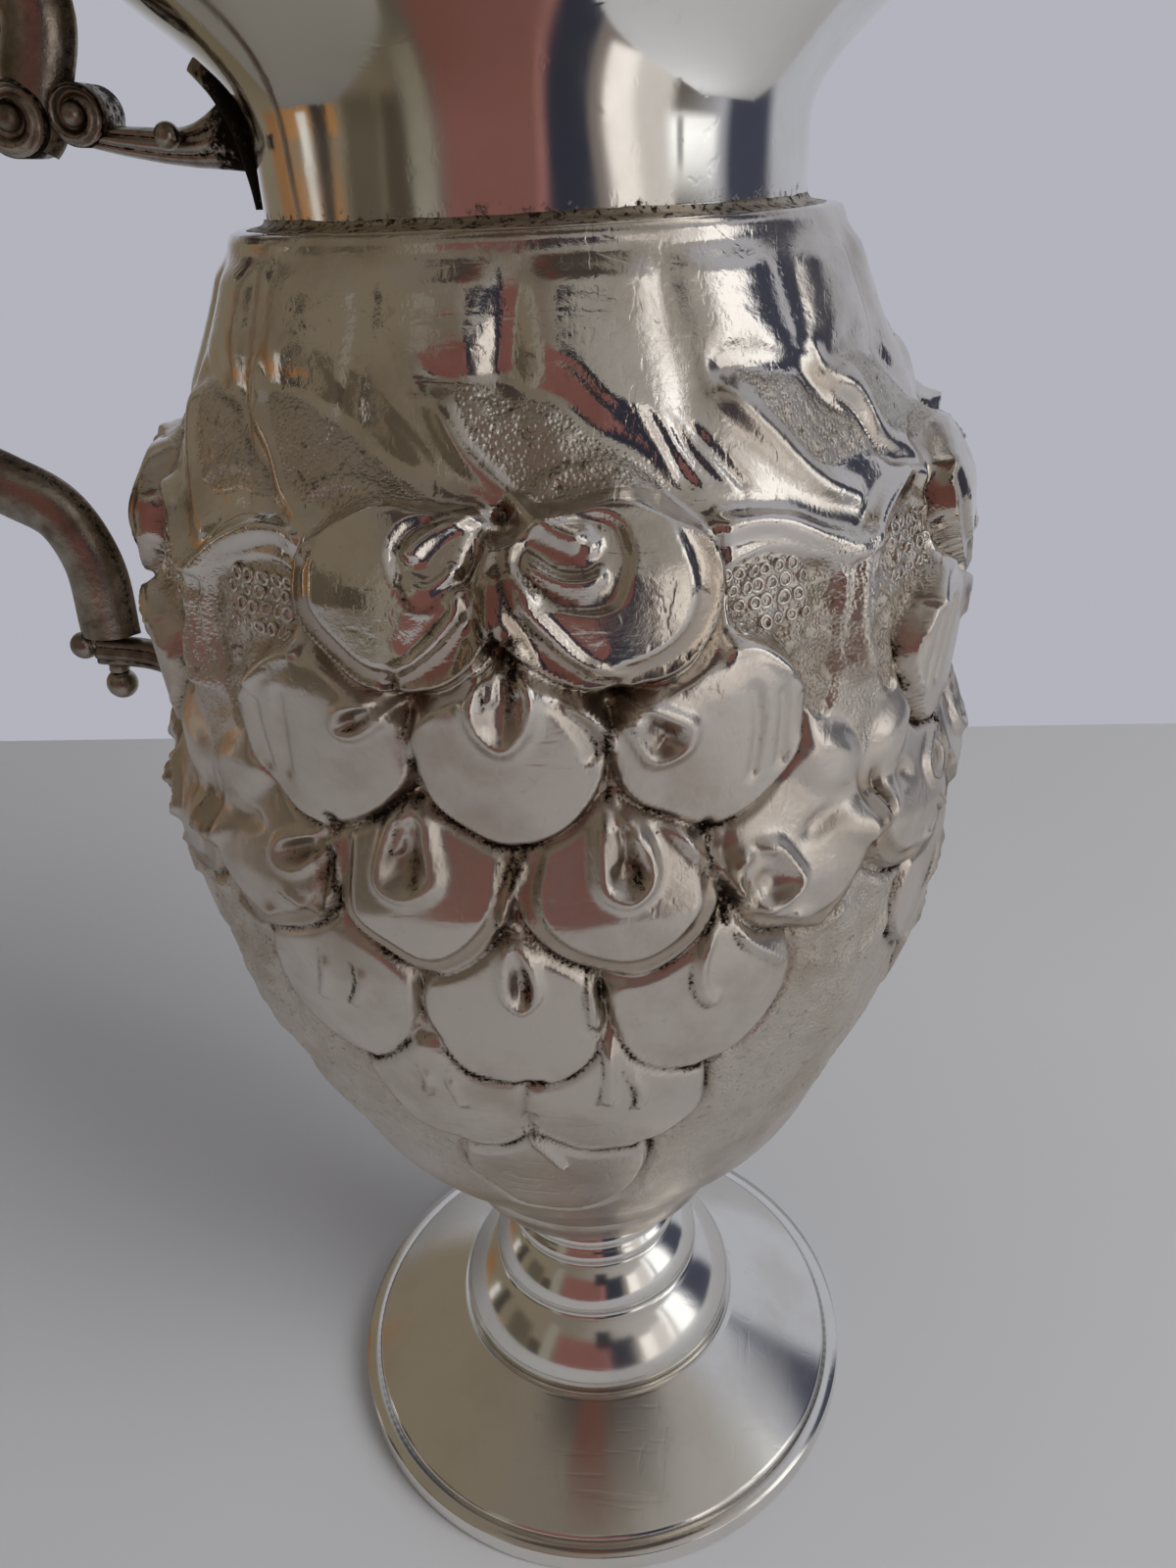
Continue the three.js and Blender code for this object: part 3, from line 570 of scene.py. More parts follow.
class Wall:
    """The plain outline of the vessel, the relief that is chased into it and the masks of its finish."""

    def __init__(self):
        self.outline = self.plain_outline()
        steps = np.hypot(*np.diff(self.outline, axis=0).T)
        self.along = np.concatenate([[0], np.cumsum(steps)])
        self.length = self.spaced_rows()
        self.radius = np.interp(self.length, self.along, self.outline[:, 0])
        self.height = np.interp(self.length, self.along, self.outline[:, 1]) + BODY_SEAT
        fine = np.linspace(-FINE_HALF, FINE_HALF, FINE_COLUMNS, endpoint=False)
        plain = np.linspace(FINE_HALF, 360 - FINE_HALF, PLAIN_COLUMNS, endpoint=False)
        self.turn = np.concatenate([fine, plain])
        self.relief = np.zeros((OUTER_ROWS, len(self.turn)))
        self.ground = np.zeros_like(self.relief)
        self.caught = np.zeros_like(self.relief)
        self.tan = np.zeros_like(self.relief)
        self.swung, self.rise = self.by_hand()

    def spaced_rows(self):
        """Rows that lie closer together where the chasing is finer."""
        even = np.linspace(0, self.along[-1], 2000)
        height = np.interp(even, self.along, self.outline[:, 1]) + BODY_SEAT
        gap = np.interp(height, *np.array(ROW_GAPS).T)
        count = np.concatenate([[0], np.cumsum(np.diff(even) / gap[1:])])
        return np.interp(np.linspace(0, count[-1], OUTER_ROWS), count, even)

    def by_hand(self):
        """Angle and height at each point, a little astray as hand work is."""
        turn = np.radians(self.turn)[None, :]
        level = self.length[:, None]
        side = 0.55 * np.sin(9 * turn + 0.23 * level + 1.0) + 0.4 * np.sin(21 * turn - 0.41 * level)
        side = side + 0.9 * np.sin(turn / 2) ** 2 * np.sin(3 * turn + 0.05 * level)
        lift = 0.35 * np.sin(13 * turn + 0.19 * level + 2.0) + 0.22 * np.sin(29 * turn - 0.37 * level)
        lift = lift + 0.8 * np.sin(turn / 2) ** 2 * np.sin(5 * turn + 0.7)
        return self.turn[None, :] + side, level + lift

    @staticmethod
    def plain_outline():
        def bent(a, b, first, second):
            def at(share):
                return (a[0] + (b[0] - a[0]) * share[0], a[1] + (b[1] - a[1]) * share[1])
            return bezier([a, at(first), at(second), b], 40)

        flat = [(FLAT_RADIUS, 0.0), (FLAT_RADIUS + 3.4, 0.5)]
        bowl = bent(BOWL, BELLY, (0.26, 0.21), (1, 0.61))
        belly = bent(BELLY, SHOULDER, (0, 0.26), (0.7, 0.72))
        top = bent(SHOULDER, COLLAR, (0.14, 0.17), (0.8, 0.64))
        return np.vstack([flat, bowl, belly[1:], top[1:]])

    def length_at(self, height):
        return np.interp(np.asarray(height) - BODY_SEAT, self.outline[:, 1], self.along)

    def radius_at(self, height):
        return np.interp(np.asarray(height) - BODY_SEAT, self.outline[:, 1], self.outline[:, 0])

    def from_panel(self, angle):
        """Degrees of each column from the nearest panel's copy of this angle."""
        half = PANEL_PITCH / 2
        return (self.swung - angle + half) % PANEL_PITCH - half

    def across(self, angle, rows):
        """Millimetres along the wall from the nearest panel's copy of this angle."""
        return np.radians(self.from_panel(angle)[rows]) * self.radius[rows, None]

    def rows_near(self, low, high, reach):
        reach = reach + 2.0
        near = (self.length > self.length_at(low) - reach) & (self.length < self.length_at(high) + reach)
        where = np.nonzero(near)[0]
        return slice(where[0], where[-1] + 1)

    def around(self, angle, height, reach):
        """Rows near a point, and the millimetres along and up the wall from it."""
        rows = self.rows_near(height, height, reach)
        return rows, self.across(angle, rows), self.rise[rows] - self.length_at(height)

    def laid_flat(self, line, middle, reach):
        """Rows near a line of panel places, then the line and those rows in millimetres along and up."""
        x = np.radians(line[:, 0] - middle) * self.radius_at(line[:, 1])
        y = self.length_at(line[:, 1])
        rows = self.rows_near(line[:, 1].min(), line[:, 1].max(), reach)
        return rows, x, y, self.across(middle, rows), self.rise[rows]

    @staticmethod
    def spans(x, y, u, v):
        """Each span of a flat line: its steps, and every point's share along it and distance from it."""
        for k in range(len(x) - 1):
            dx, dy = x[k + 1] - x[k], y[k + 1] - y[k]
            t = np.clip(((u - x[k]) * dx + (v - y[k]) * dy) / (dx * dx + dy * dy + 1e-9), 0, 1)
            yield k, dx, dy, t, np.hypot(u - x[k] - t * dx, v - y[k] - t * dy)

    def stroke(self, points, reach):
        """Rows near a smooth line through points, the distance to it and the share along it."""
        line = smooth_line(points)
        rows, x, y, u, v = self.laid_flat(line, line[len(line) // 2, 0], reach)
        best = np.full(u.shape, np.inf)
        share = np.zeros(u.shape)
        for k, _, _, t, away in self.spans(x, y, u, v):
            share = np.where(away < best, (k + t) / (len(x) - 1), share)
            best = np.minimum(best, away)
        return rows, best, share

    def ridge(self, points, rise, width, thin_start=0.12, thin_end=0.12):
        """A raised or, with a negative rise, a sunk line that fades at its ends."""
        rows, away, share = self.stroke(points, 4 * width)
        ends = ease(share, -0.02, thin_start) * (1 - ease(share, 1 - thin_end, 1.02))
        self.relief[rows] += rise * bump(away, width) * ends

    def dimple(self, angle, height, rise, wide, tall, turn=0.0):
        rows, u, v = self.around(angle, height, 3 * max(wide, tall))
        c, s = math.cos(math.radians(turn)), math.sin(math.radians(turn))
        x, y = (u * c + v * s) / wide, (v * c - u * s) / tall
        self.relief[rows] += rise * np.exp(-(x * x + y * y) ** 1.5)

    def lobe(self, angle, height, shape):
        """One overlapping lobe of two faces that meet in a fold, with old polish in a groove under its edge.
        A border is a sunk band of that width along its lower edge."""
        half_angle, drop, rise, fold, upper, lower, border, soil = shape
        rows, u, v = self.around(angle, height, 2.4 * drop)
        wide = math.radians(half_angle) * float(self.radius_at(height))
        q = np.hypot(u / wide, v / np.where(v < 0, drop, 1.5 * drop))
        inside = (1 - q) * min(wide, drop)
        a, b = -upper * (v - fold), lower * (v - fold)
        crown = rise + (a + b) / 2 - np.hypot((a - b) / 2, 0.1) - 0.3 * (u / wide) ** 2
        below = 1 - ease(v, 0.1 * drop, 0.75 * drop)
        soft = 0.4 + 0.6 * drop * ease(v, 0.1 * drop, 0.9 * drop)
        within = ease(inside, -0.12, soft) * (1 - ease(v, 0.6 * drop, 1.4 * drop))
        wall = (self.relief[rows] - 0.55 * bump(inside + 0.5, 0.5) * below) * (1 - within) + crown * within
        caught = self.caught[rows] * (1 - within)
        tan = self.tan[rows] * (1 - within)
        if border:
            edge = ease(inside, border - 0.2, border + 0.35)
            band = within * (1 - edge) * below
            hollow = 0.3 * (2 * inside / border - 1) ** 2
            wall = wall + band * (np.clip(hollow, 0, 0.3) - BORDER_DEPTH)
            tan = np.maximum(tan, band)
            caught = np.maximum(caught, 0.6 * soil * bump(inside - border, 0.35) * below)
        caught = np.maximum(caught, soil * bump(inside + 0.4, 0.45) * below)
        self.relief[rows] = wall
        self.caught[rows] = caught
        self.tan[rows] = tan
        self.ground[rows] *= 1 - ease(inside, -0.3, 0.3)

    def region(self, points):
        """How far inside a closed outline of panel points the wall lies: negative outside."""
        line = smooth_line(list(points) + [points[0]], 6)
        rows, x, y, u, v = self.laid_flat(line, line[:, 0].mean(), 6.0)
        best = np.full(u.shape, np.inf)
        odd = np.zeros(u.shape, bool)
        for k, dx, dy, _, away in self.spans(x, y, u, v):
            best = np.minimum(best, away)
            at = x[k] + (v - y[k]) * dx / (dy if abs(dy) > 1e-9 else 1e-9)
            odd ^= ((y[k] > v) != (y[k + 1] > v)) & (u < at)
        return rows, np.where(odd, best, -best)

    def sink(self, points, depth, matted=1.0):
        """A sunk, punched ground with a sharp edge."""
        rows, inside = self.region(points)
        within = ease(inside, -0.35, 0.45)
        self.relief[rows] -= depth * within
        self.ground[rows] = np.maximum(self.ground[rows], matted * ease(inside, 0.0, 0.6))

    def soil(self, points, amount, width):
        """Old polish caught along a line."""
        rows, away, _ = self.stroke(points, 4 * width)
        self.caught[rows] = np.maximum(self.caught[rows], amount * bump(away, width))

    def track(self, angle, height, lean, steps):
        """Panel places of steps in millimetres along a line and to its right. Without lean it runs down."""
        c, s = math.cos(math.radians(lean)), math.sin(math.radians(lean))
        radius = float(self.radius_at(height))
        return [(angle + math.degrees((t * s + w * c) / radius), height - t * c + w * s) for t, w in steps]

    def rib(self, angle, height, length, lean, bow, rise, width):
        """A bowed stroke that starts at a place, with old polish along its left side."""
        steps = [(t * length, 4 * bow * t * (1 - t)) for t in np.linspace(0, 1, 5)]
        self.ridge(self.track(angle, height, lean, steps), rise, width, 0.24, 0.1)
        if rise > 0:
            self.soil(self.track(angle, height, lean, [(t, w - 1.5 * width) for t, w in steps]), 0.75, 0.32)

    def loop(self, angle, height, length, lean, half, pinch, rise, width):
        """A raised loop that hangs from a place, its inside sunk and full of old polish."""
        share = np.linspace(0, 1, 9)
        end = np.sqrt(1 - np.clip(share / 0.3 - 7 / 3, 0, 1) ** 2)
        out = half * np.minimum(share / 0.7, 1) ** pinch * end
        left = [(t * length, -w) for t, w in zip(share, out)]
        right = [(t, -w) for t, w in left[-2::-1]]
        self.ridge(self.track(angle, height, lean, left + right), rise, width, 0.05, 0.05)
        (middle,) = self.track(angle, height, lean, [(0.64 * length, 0)])
        self.dimple(*middle, -0.75, 0.5 * half, 0.25 * length, lean)
        inside = [(t * length, 0.35 * half) for t in (0.35, 0.6, 0.85)]
        self.soil(self.track(angle, height, lean, inside), 0.85, 0.28 * half)

    def oval(self, angle, height, wide, tall):
        """An oval outline round a place."""
        return self.track(angle, height, 0, [(tall * math.sin(t), wide * math.cos(t)) for t in full_turn(10)])


FLUTE_PITCH = 22.5
FLUTE_EDGE = 1.8
FLUTE_RISE = 0.9
# Heights over which the flutes rise out of the wall and run out under the collar
FLUTE_FOOT = (152.0, 163.0)
FLUTE_HEAD = (LEDGE - 4.5, LEDGE - 1.4)
# Valleys between flutes: a soft floor and, in the middle of each panel, a fall from a height over a length
VALLEY_FLOOR = 0.34
VALLEY_SOFTNESS = 14
VALLEY_FALL = 0.85
VALLEY_HEAD = 173.2
VALLEY_LENGTH = 7.5
VALLEY_FOOT = (163.0, 166.0)
VALLEY_SIDE = (0.3, 4.2)
# Engraved lines of the flutes: where each flute starts, in degrees, and the heights of its lines
HATCH_EDGES = (-42.5, -20.0, 2.5, 25.0)
HATCH_LEVELS = (171.6, 169.8, 168.2)


def chase_flutes(wall):
    """Soft upright flutes on the shoulder, closed by arches under the collar, with short engraved lines."""
    turn = (wall.swung - FLUTE_EDGE) % FLUTE_PITCH / FLUTE_PITCH
    pillow = 1 - np.abs(2 * turn - 1) ** 3.2
    pillow = VALLEY_FLOOR + np.logaddexp(0, VALLEY_SOFTNESS * (pillow - VALLEY_FLOOR)) / VALLEY_SOFTNESS
    above = ease(wall.height, *FLUTE_FOOT)
    below = 1 - ease(wall.height, *FLUTE_HEAD)
    wall.relief += FLUTE_RISE * pillow * (above * below)[:, None]
    away = np.radians(np.abs(wall.from_panel(FLUTE_EDGE))) * wall.radius[:, None]
    fall = np.clip((VALLEY_HEAD - wall.height) / VALLEY_LENGTH, 0, 1) * ease(wall.height, *VALLEY_FOOT)
    wall.relief -= VALLEY_FALL * fall[:, None] * (1 - ease(away, *VALLEY_SIDE))
    for edge in HATCH_EDGES:
        for k, z in enumerate(HATCH_LEVELS):
            lead = edge + 4.5 + 1.1 * (k % 2)
            wall.ridge([(lead, z), (lead + 7, z - 0.1), (lead + 13 - k, z - 0.5)], -0.02, 0.45, 0.3, 0.3)


# Leaves of the shoulder: tips in panel places, and the lines of one leaf from its tip
LEAF_TIPS = ((-41.0, 165.4), (-12.0, 166.2), (27.0, 165.4))
LEAF_EDGE = ((0, 0), (11, -0.1), (21, -2.6), (30, -7.0), (37, -11.8))
LEAF_GROUND = ((5, -1.4), (13, -2.1), (21, -4.5), (29, -8.2), (33, -10.0), (24, -10.4), (15, -9.8),
               (9.5, -6.2))
LEAF_RIB = ((-1, 0.2), (5, -4.5), (10.5, -8.8), (15.5, -11.4), (20.5, -13.9))
LEAF_CRESCENT = ((14, -10.4), (18, -8.6), (24, -8.2), (29.5, -9.8))
# Sunk lines that fan out before each leaf's tip
LEAF_FAN = (5, 0, 3)


def chase_leaves(wall):
    """Three slanting leaves on each panel's shoulder: a sunk punched ground under a steep edge, and a rib."""
    for (angle, z), fan in zip(LEAF_TIPS, LEAF_FAN):
        def at(points, lift=0.0):
            return [(angle + a, z + h + lift) for a, h in points]

        wall.sink(at(LEAF_GROUND), 0.12)
        wall.ridge(at(LEAF_EDGE, -1.3), -0.75, 1.75, 0.08, 0.15)
        wall.ridge(at(LEAF_EDGE[1:], 1.4), -0.07, 0.45, 0.4, 0.1)
        wall.soil(at(LEAF_EDGE[:4], -2.6), 0.5, 0.5)
        wall.ridge(at(LEAF_RIB), 0.7, 1.2, 0.3, 0.05)
        wall.ridge(at(LEAF_CRESCENT), 0.4, 0.6, 0.3, 0.3)
        for k in range(fan):
            side = -9 + 2.6 * k
            ray = [(side, -3.2 - 0.2 * k), (side + 4, -7.0), (side + 7.5, -10.4)]
            wall.ridge(at(ray), -0.24, 0.45, 0.3, 0.2)


BORDER_DEPTH = 0.65
ROW_TOP = 149.5
ROW_STEP = 13.5
LOBES_IN_ROW = (2, 3, 4, 3, 2, 1)
ROW_SHIFT = (0.0, 0.0, 0.2, -2.0, -0.8, 0.4)
LOBE_PITCH = 22.9
# Each row's lobes: half angle, drop below the middle, rise at the fold, the fold's place above the middle,
# slopes of the faces above and below it, border and dirt
LOBE_SHAPES = (
    (12.9, 8.4, 3.4, 1.0, 0.10, 0.06, 2.6, 0.35),
    (11.6, 9.0, 2.7, 4.0, 0.16, 0.18, 0.0, 1.0),
    (11.5, 9.2, 2.2, -3.0, 0.28, 0.16, 1.9, 0.9),
    (11.0, 10.2, 1.15, 4.0, 0.05, 0.055, 0.0, 1.0),
    (12.2, 11.0, 1.0, 4.0, 0.05, 0.04, 0.0, 0.9),
    (15.2, 14.5, 0.95, 4.0, 0.03, 0.03, 0.0, 0.9),
)


def chase_lobes(wall):
    """The bunch of overlapping lobes, laid from its lowest row up so that each row covers the next."""
    for row in reversed(range(len(LOBES_IN_ROW))):
        count = LOBES_IN_ROW[row]
        for i in range(count):
            angle = (i - (count - 1) / 2) * LOBE_PITCH + ROW_SHIFT[row]
            wall.lobe(angle, ROW_TOP - row * ROW_STEP, LOBE_SHAPES[row])


# Sunk pockets round the two upper hooks: angle, height, half width and half height
HOOK_POCKETS = ((8.0, 151.4, 4.3, 3.1), (-5.8, 151.5, 3.5, 3.0))
# Loops between the lobes: angle, height, length, lean, half width, pinch, rise and width of the stroke
LOOPS = (
    (0.5, 151, 14.5, -2, 2.7, 1.5, 1.0, 0.8),
    (12.4, 139.5, 6.5, 55, 2.2, 0.5, 1.0, 0.8),
    (-11.5, 141, 7, -58, 1.5, 0.5, 0.6, 0.6),
    (-12, 129.5, 8, 0, 2.7, 0.3, 1.1, 0.82),
    (11.5, 129, 7.5, 0, 2.2, 0.3, 1.2, 0.82),
    (-22.5, 126.5, 8, -58, 1.6, 0.5, 0.7, 0.6),
    (27.5, 124, 6, 15, 3.6, 0.3, 1.0, 0.8),
    (0, 117, 7.5, -5, 1.7, 0.5, 0.8, 0.6),
)
# Ribs and, where the rise is negative, channels: angle, height, length, lean, bow, rise and width
RIBS = (
    (-1.5, 151.5, 9, -38, 0.6, -0.2, 1.5),
    (2.5, 151, 9, 38, -0.6, -0.2, 1.5),
    (5.5, 142, 8.5, 22, 0.8, -0.8, 0.9),
    (0, 156.5, 8.5, 53, 0.3, 0.7, 1.0),
    (2.5, 152.5, 6.5, 71, -1.8, 0.75, 0.6),
    (-2, 154.5, 6, -56, -0.7, 1.0, 0.75),
    (-9.5, 150.5, 4.5, 90, -1.4, 0.75, 0.6),
    (0.3, 154, 14, -39, 2.2, 0.65, 0.6),
    (1, 153.5, 14, 39, -2.2, 0.65, 0.6),
    (0.5, 149, 9, -8, 0, 0.6, 0.5),
    (1, 147, 6.5, 3, 0, 0.5, 0.5),
    (-12, 140, 4.5, -67, 0, 0.35, 0.5),
    (7, 141, 7, 27, 0.8, 1.0, 0.75),
    (13, 139, 4, 50, 0, 0.8, 0.6),
    (-12, 130.5, 5.5, -8, 0, 0.6, 0.5),
    (11, 128.5, 4, -5, 0, 0.7, 0.5),
    (13, 128, 4, -6, 0, 0.7, 0.5),
    (0.5, 126.5, 9.5, -4, -0.5, 0.95, 0.65),
    (-22, 126.5, 9, -7, -0.4, 0.9, 0.65),
    (16.5, 127.5, 10.5, 37, 1.2, 1.0, 0.8),
    (-30.5, 119.5, 5.5, 72, -0.6, 0.5, 0.6),
    (21.5, 117, 9, 8, -2, 0.9, 0.65),
    (24.5, 116, 8, 38, 0, 0.7, 0.6),
    (-21, 112, 6, -12, 0.6, 0.5, 0.5),
    (-25, 112.5, 6.5, -17, 0.6, 0.5, 0.5),
    (9, 114, 8.5, -5, 0, 0.6, 0.5),
    (-14.5, 99.5, 4.5, -5, 0.6, 0.65, 0.55),
    (-11, 99.5, 6, 10, 0.3, 0.7, 0.55),
    (8.5, 104.5, 9.5, 1, 0.5, 0.75, 0.6),
    (12, 100, 6.5, 0, 0.6, 0.6, 0.5),
    (-1.5, 91, 10, 14, 0, 0.8, 0.6),
)
# Sunk points from which the strokes grow
JUNCTIONS = ((0, 155), (-12, 142), (12, 141), (-11.5, 131), (11, 131), (-22.5, 127.5), (22.5, 127),
             (-0.5, 117.5), (23, 117), (-13.5, 104), (8, 106), (-1, 92.5))


def chase_strokes(wall):
    """Hooks, loops and ribs that grow from the junctions of the lobes, and the pockets round them."""
    for angle, z, wide, tall in HOOK_POCKETS:
        wall.sink(wall.oval(angle, z, wide, tall), 0.75, 0.0)
    for rib in RIBS:
        wall.rib(*rib)
    for loop in LOOPS:
        wall.loop(*loop)
    for angle, z in JUNCTIONS:
        wall.dimple(angle, z, -0.6, 0.8, 0.8)
        wall.soil(wall.track(angle, z, 0, [(-0.5, 0), (0, 0.1), (0.5, 0)]), 1.0, 0.8)


# Outline of the sunk ground beside a bunch, in panel places
POCKET = ((25.4, 149.6), (33, 150.4), (41, 147.4), (41.5, 139), (38, 134), (35.5, 135.5), (33, 140.5),
          (26, 144.6))


# Strokes beside a bunch, on its right: panel places, rise, width and the shares that thin at the two ends
DIVIDER_STROKES = (
    (((23.4, 151.6), (30, 152.9), (38, 151.2), (45, 148.0)), 1.2, 1.1, 0.15, 0.2),
    (((23.6, 143.6), (28, 142.6), (31.6, 140.2)), 1.0, 0.9),
    (((43.2, 148.4), (43.4, 144), (42.6, 138.5)), -0.7, 0.7),
    (((46.5, 150.0), (46.3, 144.0), (45.4, 136.0)), 1.1, 1.6),
    (((26.0, 140.4), (26.8, 136), (27.6, 131.0)), -0.4, 0.6),
    (((29.5, 139.4), (30.3, 136), (31.1, 131.0)), -0.4, 0.6),
    (((33.0, 138.4), (33.8, 136), (34.6, 131.0)), -0.4, 0.6),
    (((31.5, 116.0), (36.5, 113.2), (43.0, 113.4)), 0.8, 1.2),
    (((36.0, 108.5), (40.5, 106.0), (45.0, 105.4)), 0.5, 1.3),
)
# Buds and a dent beside a bunch, and swellings midway between two: angle, height, rise, half width and
# half height and, for the buds, their turn
DIVIDER_BUDS = ((38.5, 129.6, 1.5, 4.6, 2.6, -32), (43.6, 122.2, 1.2, 2.8, 1.6, -20),
                (37.0, 124.2, -0.6, 2.0, 1.2, 0))
DIVIDER_SWELLINGS = ((45.0, 97.0, 0.8, 5.0, 7.5), (45.0, 81.0, 0.6, 4.0, 6.0))


def chase_dividers(wall):
    """What stands between two bunches: arched bars, sunk grounds, buds and upright flutes."""
    for side in (1, -1):
        def at(points):
            return [(side * a, z) for a, z in points]

        wall.sink(at(POCKET), 0.7)
        for points, *shape in DIVIDER_STROKES:
            wall.ridge(at(points), *shape)
        for angle, z, rise, wide, tall, turn in DIVIDER_BUDS:
            wall.dimple(side * angle, z, rise, wide, tall, side * turn)
    for swelling in DIVIDER_SWELLINGS:
        wall.dimple(*swelling)


def beaten(shape):
    """Fine unevenness of a beaten surface."""
    pebbles = np.random.default_rng(SEED).normal(size=shape)
    pebbles = (pebbles + np.roll(pebbles, 1, 1) + np.roll(pebbles, -1, 1)) / 3
    pebbles[1:-1] = (pebbles[:-2] + pebbles[1:-1] + pebbles[2:]) / 3
    return pebbles


def blurred(field, passes):
    """A field smoothed along its rows, which close on themselves, and across them."""
    for _ in range(passes):
        field = (np.roll(field, 1, 1) + 2 * field + np.roll(field, -1, 1)) / 4
        padded = np.vstack([field[:1], field, field[-1:]])
        field = (padded[:-2] + 2 * padded[1:-1] + padded[2:]) / 4
    return field


# Heights of the vessel: where the beaten ground starts and ends, and where the chasing fades out
GROUND_STARTS = (66.0, 82.0)
GROUND_ENDS = (146.0, 152.0)
CHASING_STARTS = (48.0, 56.0)
CHASING_ENDS = (LEDGE - 0.4, LEDGE - 2.4)
# How matted the plain ground is, and the unevenness of all the wall, of matted ground and of the plain ground
GROUND_MATTED = 0.55
UNEVEN = 0.012
UNEVEN_MATTED = 0.12
UNEVEN_PLAIN = 1.1


def chased_wall():
    """The vessel's wall with all of its chasing, its beaten ground and its full, tucked bowl."""
    wall = Wall()
    plain = ease(wall.height, *GROUND_STARTS) * (1 - ease(wall.height, *GROUND_ENDS))
    wall.ground += GROUND_MATTED * plain[:, None]
    for chase in (chase_flutes, chase_lobes, chase_dividers, chase_leaves, chase_strokes):
        chase(wall)
    pebbles = beaten(wall.relief.shape)
    rough = pebbles * (UNEVEN + UNEVEN_MATTED * wall.ground)
    rough = rough + UNEVEN_PLAIN * blurred(pebbles, 7) * wall.ground * plain[:, None]
    chased = ease(wall.height, *CHASING_ENDS) * ease(wall.height, *CHASING_STARTS)
    fuller = sum(rise * bump(wall.height - z, reach) for z, rise, reach in (BOWL_SWELL, TUCK))
    wall.relief = (wall.relief + rough) * chased[:, None] + fuller[:, None]
    return wall


def finish_masks(wall):
    """Old polish in the hollows, grime round them and the punched grounds, from 0 to 1."""
    sunk = np.clip((blurred(wall.relief, 8) - wall.relief) * 1.6 - 0.16, 0, 1)
    patchy = 0.62 + 0.38 * blurred(np.random.default_rng(SEED + 2).normal(size=sunk.shape), 14) * 6
    hollow = np.clip(np.maximum(0.45 * sunk, wall.caught * np.clip(patchy, 0.25, 1)), 0, 1)
    grime = np.clip((blurred(wall.relief, 36) - wall.relief) * 0.9 - 0.08, 0, 1)
    grime = np.maximum(blurred(grime, 2), 0.8 * wall.tan)
    return {"hollow": hollow, "grime": grime, "ground": wall.ground}


def chased_body():
    """The vessel: its chased wall, its mouth and its plain inside, in two pieces with their ring punches."""
    wall = chased_wall()
    lean = np.gradient(wall.radius, wall.length)[:, None]
    climb = np.gradient(wall.height, wall.length)[:, None]
    angle = np.radians(wall.turn + FRONT)
    up = wall.height[:, None] - wall.relief * lean
    outer = about_axis(wall.radius[:, None] + wall.relief * climb, angle, up)
    inside = [(COLLAR[0] - 0.35, LEDGE - 0.25), (COLLAR[0] - 1.0, LEDGE), (MOUTH_RADIUS, LEDGE),
              (MOUTH_RADIUS, LEDGE - 2 * SHEET)]
    for z in np.linspace(BODY_HEIGHT - 2.2 * SHEET, BOWL[1] + SHEET, INNER_ROWS) + BODY_SEAT:
        inside.append((float(wall.radius_at(z)) - SHEET, z))
    inside += [(FLAT_RADIUS * 0.6, BODY_SEAT + SHEET), (0.5, BODY_SEAT + SHEET)]
    grid = np.concatenate([outer, [about_axis(r, angle, z) for r, z in inside]])
    around = np.roll(outer, -1, 1) - np.roll(outer, 1, 1)
    normals = np.cross(around, np.gradient(outer, axis=0))
    normals /= np.linalg.norm(normals, axis=-1, keepdims=True)
    normals = np.concatenate([normals, np.zeros((len(inside),) + normals.shape[1:])])
    masks = finish_masks(wall)
    for name, first, count, nodes in (("chased_body", 0, FINE_COLUMNS, ["body"]),
                                      ("chased_body_back", FINE_COLUMNS, PLAIN_COLUMNS, [])):
        wall_strip(name, grid, normals, masks, (first + np.arange(count + 1)) % len(angle), nodes)
    ring_punches(wall, outer, normals)


def wall_strip(name, grid, normals, masks, columns, nodes):
    """Some columns of the vessel's grid as a piece, with normals that run on into the next piece."""
    rows, across = len(grid), len(columns)
    points = grid[:, columns].reshape(-1, 3)
    faces = grid_faces(rows, across, rows - 1, across - 1).tolist()
    made = new_piece(name, points, faces, CHASED, nodes)
    made.data.normals_split_custom_set_from_vertices(normals[:, columns].reshape(-1, 3).tolist())
    for label, mask in masks.items():
        laid = np.zeros((rows, across))
        laid[:len(mask)] = mask[:, columns]
        carry(made, label, laid.ravel())


PUNCH_STEP = 1.5
PUNCH_ROWS = 4
PUNCH_COLUMNS = 6
PUNCH_CORNER = (26.0, 149.0)
PUNCH_RADIUS = 0.55
PUNCH_WIRE = 0.2


def ring_punches(wall, outer, normals):
    """Rows of small raised rings in the sunk grounds on both sides of each bunch."""
    points, ways = [], []
    for k in range(2 * PANELS):
        side = 1 if k % 2 else -1
        for row in range(PUNCH_ROWS):
            i = int(np.argmin(np.abs(wall.height - PUNCH_CORNER[1] + PUNCH_STEP * row)))
            step = math.degrees(PUNCH_STEP / wall.radius[i])
            for column in range(PUNCH_COLUMNS):
                angle = side * (PUNCH_CORNER[0] + step * (column + row % 2 / 2)) + PANEL_PITCH * (k // 2)
                j = int(np.argmin(np.abs((wall.swung[i] - angle + 180) % 360 - 180)))
                points.append(tuple(outer[i, j] * MM))
                ways.append(normals[i, j])
    mesh = bpy.data.meshes.new("punch_places")
    mesh.from_pydata(points, [], [])
    mesh.attributes.new("way", "FLOAT_VECTOR", "POINT").data.foreach_set("vector", np.ravel(ways))
    sizes = {"Radius": PUNCH_RADIUS * MM, "Wire": PUNCH_WIRE * MM, "Seed": SEED, "Metal": CHASED}
    return grown("ring_punches", mesh, ring_tree(), sizes)


